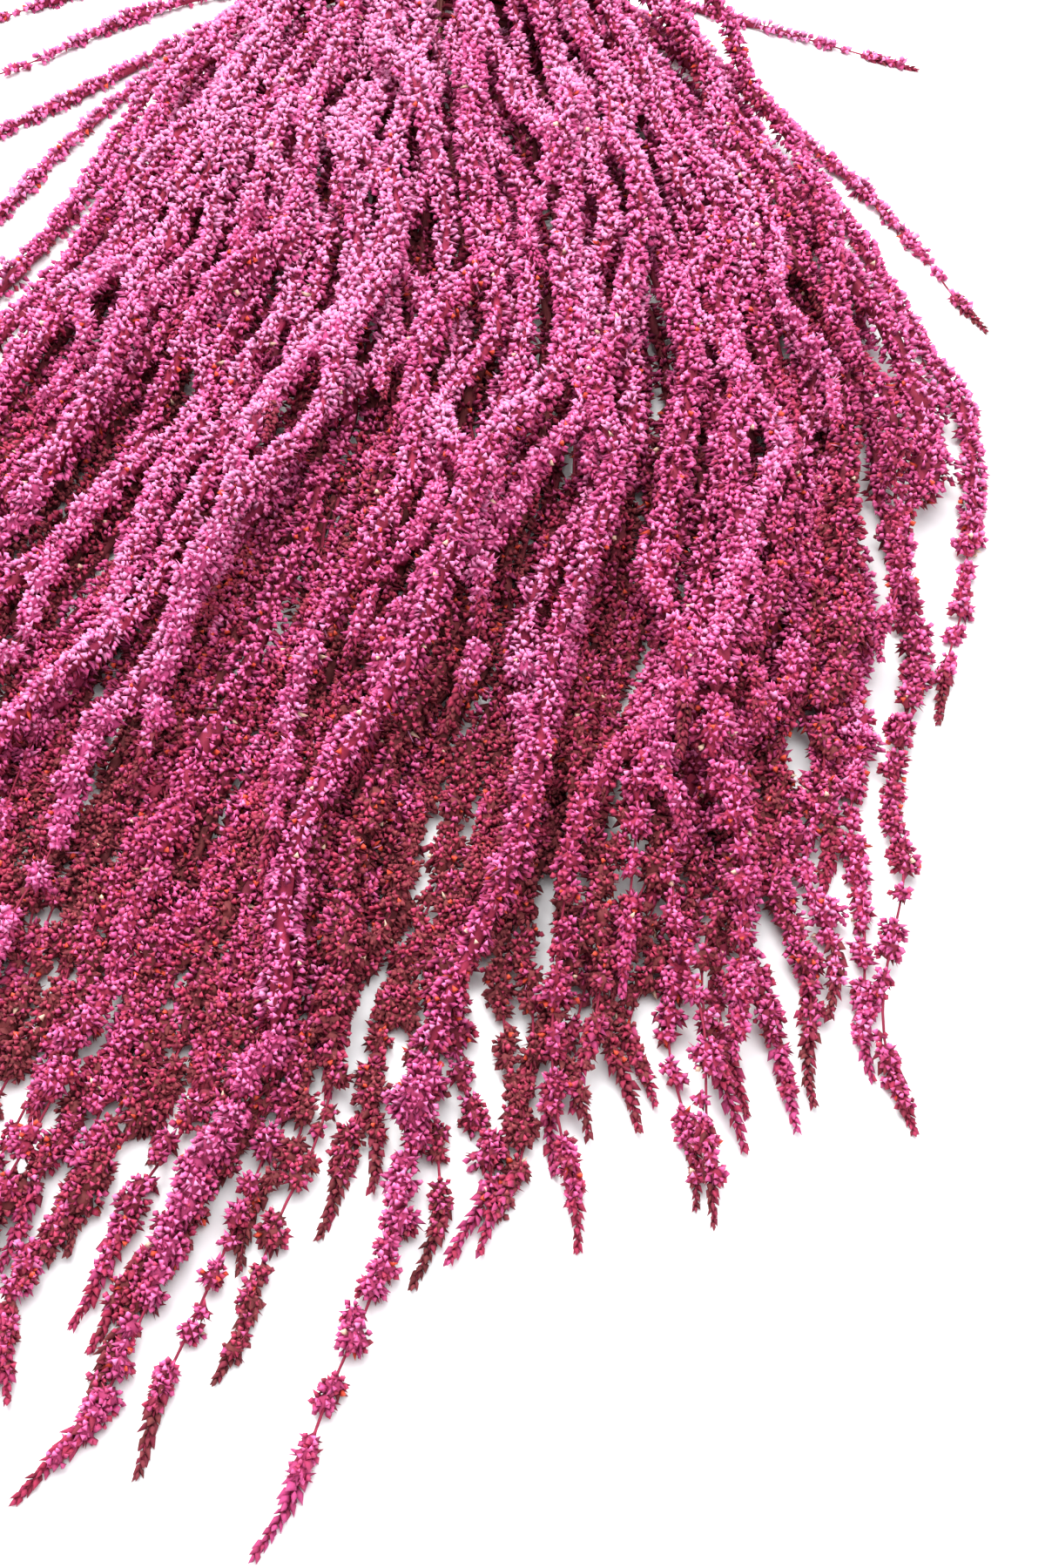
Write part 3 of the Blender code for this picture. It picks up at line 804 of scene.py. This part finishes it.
class Places:
    """Where copies of one little shape go: base, direction, size and tone of each."""

    def __init__(self, shape):
        self.shape = shape
        self.rows = []

    def add(self, base, direction, width, length, tone):
        count = len(base)
        spread = [np.broadcast_to(np.asarray(v, float), (count,)) for v in (width, length, tone)]
        self.rows.append(np.column_stack([base, direction, *spread]))


def unit(vectors):
    return vectors / np.maximum(np.linalg.norm(vectors, axis=-1, keepdims=True), 1e-9)


def jitter(like, spread):
    """Random offsets, one for each row of an array."""
    return dice.normal(0.0, spread, like.shape)


# %% [markdown]
# ## Tones of the florets
#
# Florets are painted paler on top, at open places and near the crown, as painted light, and darker in the
# dips between the lumps, as painted shade. A floret takes its cord's tone, then these changes, and last a
# small one by chance, which grows towards the tips. So the crown is pale and even, and the fringe is dark
# and mottled.

# %% Tone of each floret
CROWN_REACH, PAINTED_CROWN_LIGHT = 300 * MM, 0.10  # how far down the crown is painted paler, as painted light, and how much
LOWER_REACH, LOWER_TONE = 380 * MM, 0.20  # how far down and how much more the lower tassels are painted paler, as painted light
FRINGE, FRINGE_TONE = (360 * MM, 600 * MM), 0.15  # where upper and outer tassels darken, and how much
PAINTED_TOP_LIGHT, TOP_LEVEL = 0.22, 0.6  # how much paler the top is painted than the sides, as painted light, and where that is nought
PAINTED_OPEN_LIGHT, OPEN_LEVEL = 0.22, 0.75  # the same painted light for open places
PAINTED_LUMP_SHADE = 0.26  # florets down between the lumps are that much darker, as painted shade
MOTTLE_TONE, MOTTLE_PITCH = 0.12, 60 * MM
CHANCE_TONES = (0.03, 0.055, 0.085)  # spread by chance at the crown, at its reach and at twice that
ORANGE_SHARES = (0.028, 0.004)  # share of orange florets among crimson ones and among rose ones
TAN_SHARE = 0.003


def floret_tones(cord, points, outward, openness, lift):
    """Tones of florets: the cord's own, with painted light on top, at open places and near the crown,
    painted shade between lumps, mottled, a few orange or tan.
    """
    mottle_and_painted_light = MOTTLE_TONE * noise_at(points + 3.1, MOTTLE_PITCH)
    # painted shade down between the lumps, and painted light on the top of the cord
    mottle_and_painted_light += PAINTED_LUMP_SHADE * lift
    mottle_and_painted_light += PAINTED_TOP_LIGHT * (outward[:, 2] - TOP_LEVEL)
    down = stem_low[1] - points[:, 1]
    # painted light: paler near the crown, more so on the lower, deep and fringe tassels; the darker fringe
    # of the others is their own tone
    height = PAINTED_CROWN_LIGHT * np.clip(1 - down / CROWN_REACH, 0, 1)
    if cord.habit in ("upper", "between", "outer"):
        height -= FRINGE_TONE * np.interp(down, FRINGE, (0, 1))
    else:
        height += LOWER_TONE * np.clip(1 - down / LOWER_REACH, 0, 1)
    spread = np.interp(down, (0, CROWN_REACH, 2 * CROWN_REACH), CHANCE_TONES)
    own = dice.normal(0, 1, len(points)) * spread
    # painted light at open places and painted shade at hidden ones
    tone = cord.tone + PAINTED_OPEN_LIGHT * (openness - OPEN_LEVEL) + height + mottle_and_painted_light + own
    tone = np.clip(tone, BROWN + 0.04, MAUVE)
    chance = dice.random(len(points))
    tone = np.where(chance < np.interp(tone, (CRIMSON, ROSE), ORANGE_SHARES), ORANGE, tone)
    return np.where(chance > 1 - TAN_SHARE, TAN, tone)


# %% [markdown]
# ## Planting a full cord
#
# Florets follow the golden angle round a cord, as seeds do on many plants, so that they never line up.
# Each stands straight out of the surface, leans a little towards the tip, and is turned by chance. A slow
# noise lifts and sinks the surface, because the real cord is a row of little clusters grown together.

# %% Florets round a cord
GOLDEN = math.pi * (3 - math.sqrt(5))
FLORETS = 0.285 / MM**2  # for each square metre of surface, near the tips
FINE_STEP = 0.5 * MM
FLORET_WIDTH, FLORET_LENGTH = 1.84 * MM, 2.5 * MM
FLORET_SIZES = (0.80, 1.22)
FLORET_LEAN, FLORET_STRAY = 0.45, 0.28
BRACT_WIDTH, BRACT_LENGTH = 0.75 * MM, 3.4 * MM
BRACT_SIZES = (0.85, 1.2)
BRACT_LEAN, BRACT_STRAY = 0.75, 0.3
BRACTS = 0.30  # for each floret, at an open place
PLUMP_SHARE, PLUMP_LEVEL = 0.68, 0.4  # share of plump florets among those at places more open than this
BUD_LENGTH = 1.05 * FLORET_LENGTH
COARSER = 1.6  # size of the florets at the crown, for those at the tips
SUNK = 0.62  # share of a floret's length that is below the planted surface
TURN_STRAY = 0.30
LUMP_PITCH = 7 * MM
KEPT_OPEN = 0.20  # share of florets that stand at a place which sees sky, besides its openness
KEPT_HIDDEN = 0.02


def coarseness(points):
    """Size of the florets at each point: they are larger towards the crown."""
    down = (stem_low[1] - points[:, 1]) / CROWN_REACH
    return np.interp(down, (0.0, 2.0), (COARSER, 1.0))


def plant(cord, spots, kinds):
    """Plants florets at spots: places on the surface, the way out of it, and how open each is."""
    places, outward, ahead, openness, lift = spots
    count = len(places)
    size = coarseness(places) * dice.uniform(*FLORET_SIZES, count)
    tone = floret_tones(cord, places, outward, openness, lift)
    direction = unit(outward + FLORET_LEAN * ahead + jitter(outward, FLORET_STRAY))
    base = places - outward * (SUNK * FLORET_LENGTH * size)[:, None]
    plump = (openness > PLUMP_LEVEL) & (dice.random(count) < PLUMP_SHARE)
    for kind, chosen, length in ((kinds.grains, plump, FLORET_LENGTH), (kinds.buds, ~plump, BUD_LENGTH)):
        own = size[chosen]
        kind.add(base[chosen], direction[chosen], FLORET_WIDTH * own, length * own, tone[chosen])
    spiky = dice.random(count) < BRACTS * np.clip(openness + 0.3, 0, 1)
    places, outward, ahead, tone = places[spiky], outward[spiky], ahead[spiky], tone[spiky]
    size = size[spiky] * dice.uniform(*BRACT_SIZES, spiky.sum())
    base = places - outward * (SUNK * BRACT_LENGTH * size)[:, None]
    direction = unit(outward + BRACT_LEAN * ahead + jitter(outward, BRACT_STRAY))
    tone = np.clip(tone - 0.05, WINE, MAUVE)
    kinds.bracts.add(base, direction, BRACT_WIDTH * size, BRACT_LENGTH * size, tone)


def plant_cord(cord, kinds):
    """Covers the full stretch of a cord."""
    steps = np.arange(cord.bare, cord.full_end, FINE_STEP)
    surface = 2 * math.pi * cord.girth(steps) * FINE_STEP
    total = np.cumsum(surface * FLORETS / coarseness(cord.at(steps, cord.line)) ** 2)
    total = np.concatenate([[0.0], total])
    number = np.arange(int(total[-1]))
    along = np.interp(number + dice.random(len(number)), total[:-1], steps)
    turn = number * GOLDEN + dice.normal(0.0, TURN_STRAY, len(number))
    openness = look_up(cord, along, turn)
    kept = dice.random(len(number)) < np.where(openness > 0, KEPT_OPEN + openness, KEPT_HIDDEN)
    along, turn, openness = along[kept], turn[kept], openness[kept]
    middle, ahead = cord.at(along, cord.line), cord.at(along, cord.ahead)
    outward, radius = cord.outward(along, turn), cord.girth(along)
    lift = noise_at(middle + outward * radius[:, None], LUMP_PITCH)
    radius *= 1 + cord.lumps * lift
    plant(cord, (middle + outward * radius[:, None], outward, ahead, openness, lift), kinds)


# %% [markdown]
# ## Planting a cluster
#
# Where the tassel loosens, its florets sit in separate clusters. A real cluster isn't one neat ball: it is
# two or three little balls of florets grown together, a bit to this side and a bit to that. High up on the
# string the balls touch, so they make a knobbly strand. Only near the tip do gaps open between clusters.

# %% Balls of florets
BALL_STEP = 5.8 * MM  # from one ball to the next
BALL_SHARE = (0.56, 0.94)  # radius of a ball's planted surface as a share of the solid's bulge
BALL_OFFSET = (0.3, 1.2)  # how far it is pushed off the line, as a share of the room that it has
BALL_LUMPS, BALL_LUMP_PITCH = 0.36, 3.5 * MM
SHRINKING = 0.25  # how much smaller and closer the balls may be at the tip
# how much darker a ball's core is, as painted shade in the gaps between its florets
BALL_CORE_PAINTED_SHADE = 0.20


def balls_of(cord, along, bulge):
    """The balls of one cluster, as a list of places along the cord, offsets from it, and radii."""
    looseness = (along - cord.full_end) / (cord.length - cord.full_end)
    count = int(dice.choice((2, 2, 3))) if looseness > 0.5 else 3
    bulge *= dice.uniform(1 - SHRINKING * looseness, 1.12) * max(cord.fill, 1.0)
    made = []
    for number in range(count):
        shift = (number - (count - 1) / 2) * BALL_STEP * (1.05 - SHRINKING * looseness)
        place = along + (shift + dice.normal(0, 0.7) * MM)
        radius = bulge * dice.uniform(*BALL_SHARE)
        offset = (1.05 * bulge - radius) * dice.uniform(*BALL_OFFSET)
        way = cord.outward(place, dice.uniform(0, 2 * math.pi))
        made.append((place, way * offset, radius))
    return made


def plant_ball(cord, ball, others, kinds):
    """Plants florets all round one ball, except inside the balls beside it."""
    along, offset, radius = ball
    middle, ahead = cord.at(along, cord.line) + offset, cord.at(along, cord.ahead)
    count = int(4 * math.pi * radius**2 * FLORETS / coarseness(middle[None])[0] ** 2)
    number = np.arange(count) + 0.5
    height = 1 - 2 * number / count
    turn = number * GOLDEN + dice.uniform(0, 6)
    outward = np.sqrt(1 - height**2)[:, None] * cord.outward(along, turn) + height[:, None] * ahead
    openness = look_up(cord, np.full(count, along), turn)
    places = middle + outward * radius
    kept = dice.random(count) < 1.25 * openness + 0.1
    for beside, push, reach in others:
        kept &= np.linalg.norm(places - cord.at(beside, cord.line) - push, axis=1) > 0.95 * reach
    outward, openness, places = outward[kept], openness[kept], places[kept]
    lift = noise_at(places, BALL_LUMP_PITCH)
    places = places + outward * (radius * BALL_LUMPS * lift)[:, None]
    plant(cord, (places, outward, np.broadcast_to(ahead, outward.shape), openness, lift), kinds)
    # the core's darker tone is painted shade
    tone = max(cord.tone - BALL_CORE_PAINTED_SHADE, BROWN)
    kinds.cores.add((middle - ahead * radius)[None], ahead[None], 1.9 * radius, 2 * radius, tone)


def plant_string(cord, kinds):
    """Plants all clusters of the loose stretch."""
    balls = [ball for cluster in cord.clusters for ball in balls_of(cord, *cluster)]
    for number, ball in enumerate(balls):
        beside = balls[max(number - 1, 0) : number] + balls[number + 1 : number + 2]
        plant_ball(cord, ball, beside, kinds)
    return len(balls)


# %% [markdown]
# ## The pointed tip
#
# A tassel goes on growing at its tip, so that its last stretch is a spike of closed scales that overlap
# like those of an ear of wheat. It is darker and redder than the open florets.

# %% Scales of the spike
SCALE_PITCH = 0.62 * MM
SCALE_WIDTH, SCALE_LENGTH = 2.7 * MM, 4.8 * MM
SCALE_LEAN = (0.40, 0.34)  # at the point, and how much more where the spike starts
SCALE_SIZE = (0.62, 0.42)  # the same for their size
SPIKE_OVERLAP = 3 * MM  # the scales start this much above the spike
SPIKE_TONES = (0.12, 0.50)
SPIKE_COVERED = (0.25, 0.85)  # share of a spike that small balls of florets cover
BUDDING_RADIUS = (1.9 * MM, 2.9 * MM)
BUDDING_PITCH = 4.2 * MM


def plant_spike(cord, kinds):
    """Scales round the pointed tip, with the youngest clusters over its upper part."""
    start = cord.length - SPIKE_LENGTH - SPIKE_OVERLAP
    covered = start + SPIKE_LENGTH * dice.uniform(*SPIKE_COVERED)
    for along in np.arange(start, covered, BUDDING_PITCH):
        radius = dice.uniform(*BUDDING_RADIUS)
        push = cord.outward(along, dice.uniform(0, 2 * math.pi)) * dice.uniform(0.2, 1.2) * MM
        plant_ball(cord, (along, push, radius), [], kinds)
    along = np.arange(start, cord.length - 2.2 * MM, SCALE_PITCH)
    left = np.clip((cord.length - along) / SPIKE_LENGTH, 0, 1)
    outward = cord.outward(along, np.arange(len(along)) * GOLDEN)
    lean = (SCALE_LEAN[0] + SCALE_LEAN[1] * left)[:, None] * outward
    direction = unit(cord.at(along, cord.ahead) + lean + jitter(outward, 0.08))
    size = (SCALE_SIZE[0] + SCALE_SIZE[1] * left) * dice.uniform(0.7, 1.2, len(along))
    base = cord.at(along, cord.line) + outward * (0.9 * MM * left**0.7)[:, None]
    base = base - direction * (0.2 * SCALE_LENGTH * size)[:, None]
    own = dice.uniform(*SPIKE_TONES)
    tone = own + 0.25 * (cord.tone - 0.5) + dice.normal(0, 0.07, len(along))
    tone = np.clip(tone, BROWN - 0.04, MAGENTA)
    kinds.scales.add(base, direction, SCALE_WIDTH * size, SCALE_LENGTH * size, tone)


# %% [markdown]
# ## Stalks
#
# Under the florets runs a stalk. On the full stretch it has a knobbly core round it, so that the gaps
# between florets show more florets in the shade and not a smooth pipe; the core's dark tone is painted
# shade, with a share of its cord's own tone. Both are one tube, which narrows to the bare stalk between
# clusters and closes at both ends. Its root reaches into the stem, since a solid starts just outside of it.

# %% Stalk and core
TUBE_PITCH, BARE_PITCH, STRING_PITCH = 8.5 * MM, 24 * MM, 8 * MM
TUBE_SIDES = 5
RACHIS = 0.38 * MM  # radius of the bare stalk between clusters
ROOT_SHARES, ROOT_TAPER = (3, 2), 40 * MM  # how much thicker it is at its root, and at this length
CORE_DEPTH = 2.6 * MM  # of the core below the planted surface
THINNEST_CORE = 0.5  # as a share of the planted radius
KNOBS = 0.11
CORE_PAINTED_SHADE_TONES = (0.03, 0.44)  # painted shade: tone of the core of the darkest cord, and how much more the palest one adds
STALK_TONE = 0.27
INTO_STEM = 0.4  # distance of a root from the stem's middle, as a share of the solid's


def inside_stem(root):
    """A point inside the stem, beside the root of a stalk."""
    ordered = stem_line[stem_line[:, 1].argsort()]
    axis = np.array([np.interp(root[1], ordered[:, 1], values) for values in ordered.T])
    return axis + INTO_STEM * (root - axis)


def stalk_stations(cord):
    """Distances along a cord at which its stalk gets a ring, doubled where an end is closed."""
    bare = np.arange(0.0, cord.bare, BARE_PITCH)
    full = np.arange(cord.bare + 0.5 * MM, cord.full_end, TUBE_PITCH)
    loose = np.arange(cord.full_end + 1 * MM, cord.length - 4 * MM, STRING_PITCH)
    end = cord.length - 3 * MM
    return np.concatenate([[0.0, 0.0], bare, full, loose, [end, end]])


def stalk_tube(cord):
    """The stalk of one cord, with the knobbly core on its full stretch."""
    stations = stalk_stations(cord)
    cored = (stations > cord.bare) & (stations < cord.full_end)
    girth = cord.girth(stations)
    core = np.maximum(girth - CORE_DEPTH, THINNEST_CORE * girth)
    root = np.interp(stations, (0, ROOT_TAPER), ROOT_SHARES)
    stalk = np.where(stations < cord.bare, root, 1) * RACHIS
    thick = np.maximum(np.where(cored, core, stalk), RACHIS)
    thick[0] = thick[-1] = 0.0
    middle = cord.at(stations, cord.line)
    middle[:2] = inside_stem(middle[0])
    knobs = 1 + KNOBS * dice.uniform(-1, 1, (len(stations), TUBE_SIDES))
    tones = np.where(cored, CORE_PAINTED_SHADE_TONES[0] + CORE_PAINTED_SHADE_TONES[1] * cord.tone, STALK_TONE)[:, None]
    tones = np.clip(tones + 0.015 * dice.normal(0, 1, knobs.shape), MAROON + 0.01, MAGENTA)
    around = [cord.outward(stations, 2 * math.pi * step / TUBE_SIDES) for step in range(TUBE_SIDES)]

    def place(i, step):
        return middle[i] + around[step][i] * thick[i] * knobs[i, step], tones[i, step]

    return rolled_tube(stations, TUBE_SIDES, place)


# %% [markdown]
# ## From places to a mesh
#
# All copies of a shape are worked out at once as arrays: the shape's corners are scaled, turned to each
# direction and moved to each base. The map place of a corner is its floret's tone and its own height.

# %% Copies into a mesh
TONE_WIDTH = 0.005  # half the width of a floret on the map


def copies_of(places):
    """Corners, faces and map places of all copies of one shape."""
    rows = np.concatenate(places.rows)
    base, direction, (width, length, tone) = rows[:, :3], rows[:, 3:6], rows[:, 6:].T
    across = unit(np.cross(direction, unit(dice.normal(size=direction.shape))))
    third = np.cross(direction, across)
    x, y, z = places.shape.corners.T
    corners = (
        base[:, None]
        + across[:, None] * (x * width[:, None])[:, :, None]
        + third[:, None] * (y * width[:, None])[:, :, None]
        + direction[:, None] * (z * length[:, None])[:, :, None]
    )
    faces = places.shape.faces[None] + (np.arange(len(rows)) * len(x))[:, None, None]
    on_map = np.stack(np.broadcast_arrays(tone[:, None] + 2 * TONE_WIDTH * x, z[None]), axis=-1)
    return corners.reshape(-1, 3), faces.reshape(-1, 3), on_map.reshape(-1, 2)


def tube_on_map(shape, tones):
    """The same for a tube, whose tone and height on the map change from corner to corner."""
    spin = np.arange(len(tones))
    # low heights on the map give the tube the painted shade of a floret's base
    return shape.corners, shape.faces, np.column_stack([tones, 0.35 + 0.20 * np.sin(spin * 2.4)])


def mesh_of(name, parts):
    """One mesh from several lots of corners, faces and map places."""
    offsets = np.cumsum([0] + [len(corners) for corners, _, _ in parts])
    corners = np.concatenate([part[0] for part in parts])
    faces = np.concatenate([part[1] + offset for part, offset in zip(parts, offsets)])
    on_map = np.concatenate([part[2] for part in parts])
    corners[:, 2] = np.maximum(corners[:, 2], 0.0)
    mesh = bpy.data.meshes.new(name)
    mesh.vertices.add(len(corners))
    mesh.vertices.foreach_set("co", corners.ravel())
    mesh.loops.add(faces.size)
    mesh.loops.foreach_set("vertex_index", faces.ravel())
    mesh.polygons.add(len(faces))
    mesh.polygons.foreach_set("loop_start", np.arange(0, faces.size, 3))
    mesh.update(calc_edges=True)
    mesh.polygons.foreach_set("use_smooth", np.ones(len(faces), bool))
    layer = mesh.uv_layers.new(name=FLORET_MAP)
    layer.data.foreach_set("uv", on_map[faces.ravel()].ravel())
    mesh.materials.append(florets_finish)
    return mesh


def add_piece(name, mesh, node=None):
    """Puts a finished mesh in the scene, on the head's one body."""
    piece = bpy.data.objects.new(name, mesh)
    bpy.context.scene.collection.objects.link(piece)
    if node:
        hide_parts(node)
    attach(piece, "root")


# %% [markdown]
# ## The stem's finish
#
# A dried stem is straw-coloured with a wine-red blush in patches, and fine fibres run along it. Noise on its
# own place in space, stretched along the stem, gives the fibres, their colours and a slight relief.

# %% Stem finish
FIBRES = (1400, 30, 1400)  # fibres across and along the stem, for each metre
BLUSH = (0.200, 0.018, 0.036, 1.0)
STRAW = ((0.36, (0.090, 0.030, 0.018)), (0.50, (0.300, 0.170, 0.080)), (0.68, (0.430, 0.310, 0.150)))


def stem_finish():
    """Straw-coloured fibres with a wine-red blush."""
    material, graph, surface = new_material("dried_stem")
    place = graph.node("ShaderNodeTexCoord", (), (), "Object")
    stretched = graph.node("ShaderNodeVectorMath", {"operation": "MULTIPLY"}, {0: place, 1: FIBRES})
    fibres = graph.node("ShaderNodeTexNoise", (), {"Vector": stretched, "Scale": 1.0, "Detail": 3.0})
    patches = graph.node("ShaderNodeTexNoise", (), {"Vector": place, "Scale": 22.0, "Detail": 2.0})
    straw = graph.node("ShaderNodeValToRGB", {"stops": STRAW}, {0: fibres})
    red = graph.node(
        "ShaderNodeMapRange",
        (),
        {"Value": patches, "From Min": 0.42, "From Max": 0.66, "To Min": 0.15, "To Max": 0.85},
    )
    colour = graph.node(
        "ShaderNodeMix", {"data_type": "RGBA"}, {"Factor": red, "A": straw, "B": BLUSH}, "Result"
    )
    graph.tree.links.new(colour.socket, surface["Base Color"])
    graph.tree.links.new((0.72 - 0.25 * fibres).socket, surface["Roughness"])
    bump = graph.node("ShaderNodeBump", (), {"Strength": 0.5, "Distance": 0.0004, "Height": fibres})
    graph.tree.links.new(bump.socket, surface["Normal"])
    return material


# %% [markdown]
# ## The stem
#
# The stem has shallow ribs. It is made as a tube along the solid's centre line. At the cut end the first
# rings run inwards and down into the tube, which leaves a rim round the soft pith.

# %% Stem
STEM_RIBS = 11
STEM_SIDES, STEM_PITCH = 66, 5 * MM
RIB_DEPTH = 0.16  # as a share of the radius
PITH = 0.42  # radius of the soft middle at the cut end, as a share
CUT_DEPTHS = (1.2 * MM, 0.4 * MM, 0.0, 0.0)  # of the first rings, from the middle of the pith to the rim
CUT_SHARES = (0.0, PITH, PITH + 0.06, 0.93)  # their radii
END_SHARES = (0.3, 0.0)  # radii of the two rings that close the lower end


def stem_mesh():
    """The stem: a ribbed tube along the solid's centre line, with a hollowed pith in its cut end."""
    radii = stem_radii.copy()
    radii[0] = radii[2]
    cord = Cord("stem", stem_line.copy(), radii, "stem")
    along = np.arange(0.0, cord.length - 1 * MM, STEM_PITCH)
    stations = np.concatenate([CUT_DEPTHS, along, [cord.length, cord.length]])
    share = np.concatenate([CUT_SHARES, np.ones(len(along)), END_SHARES])
    radius = cord.at(stations, cord.radii) * cord.fill * share
    radius[-2] = STALK
    middle = cord.at(stations, cord.line)

    def place(i, step):
        turn = 2 * math.pi * step / STEM_SIDES
        ribbed = 1 + RIB_DEPTH * (math.cos(STEM_RIBS * turn) - 1) / 2 * (share[i] > 0)
        return middle[i] + cord.outward(stations[i], turn) * radius[i] * ribbed, 0.0

    shape, _ = rolled_tube(stations, STEM_SIDES, place)
    mesh = bpy.data.meshes.new("stem_dressed")
    corners = shape.corners
    corners[:, 2] = np.maximum(corners[:, 2], 0.0)
    mesh.from_pydata(corners.tolist(), [], shape.faces.tolist())
    mesh.polygons.foreach_set("use_smooth", np.ones(len(mesh.polygons), bool))
    mesh.materials.append(stem_finish())
    return mesh


stem = stem_mesh()
add_piece("stem_dressed", stem, "stem")
print("triangles of the stem:", len(stem.polygons))

# %% [markdown]
# ## Dressing the tassels
#
# Each tassel becomes one piece, with its florets, bracts, scales and stalk in one mesh, and stands for its
# solid. The filling tassels stand for none. All of them ride on the head's one body.

# %% Dressed tassels
SHAPES = Kinds(GRAIN, BRACT, BRACT, BALL, SCALE)
tally = dict.fromkeys((*Kinds._fields, "stalks", "balls"), 0)


def dress(cord, node=None):
    """Plants a whole cord and adds it as one piece."""
    kinds = Kinds(*(Places(shape) for shape in SHAPES))
    plant_cord(cord, kinds)
    tally["balls"] += plant_string(cord, kinds)
    if cord.name != BLUNT:
        plant_spike(cord, kinds)
    parts = []
    for kind, places in kinds._asdict().items():
        if places.rows:
            parts.append(copies_of(places))
            tally[kind] += len(parts[-1][1])
    parts.append(tube_on_map(*stalk_tube(cord)))
    tally["stalks"] += len(parts[-1][1])
    name = f"{cord.name}_dressed" if node else cord.name
    mesh = mesh_of(name, parts)
    add_piece(name, mesh, node)
    return len(mesh.polygons)


counts = []
for cord in cords:
    counts.append(dress(cord, cord.name))
counts += [dress(cord) for cord in fillers]
print("triangles:", sum(counts), "of which filling tassels:", sum(counts[len(cords) :]))
print("most in one piece:", max(counts), "by kind, and balls:", tally)
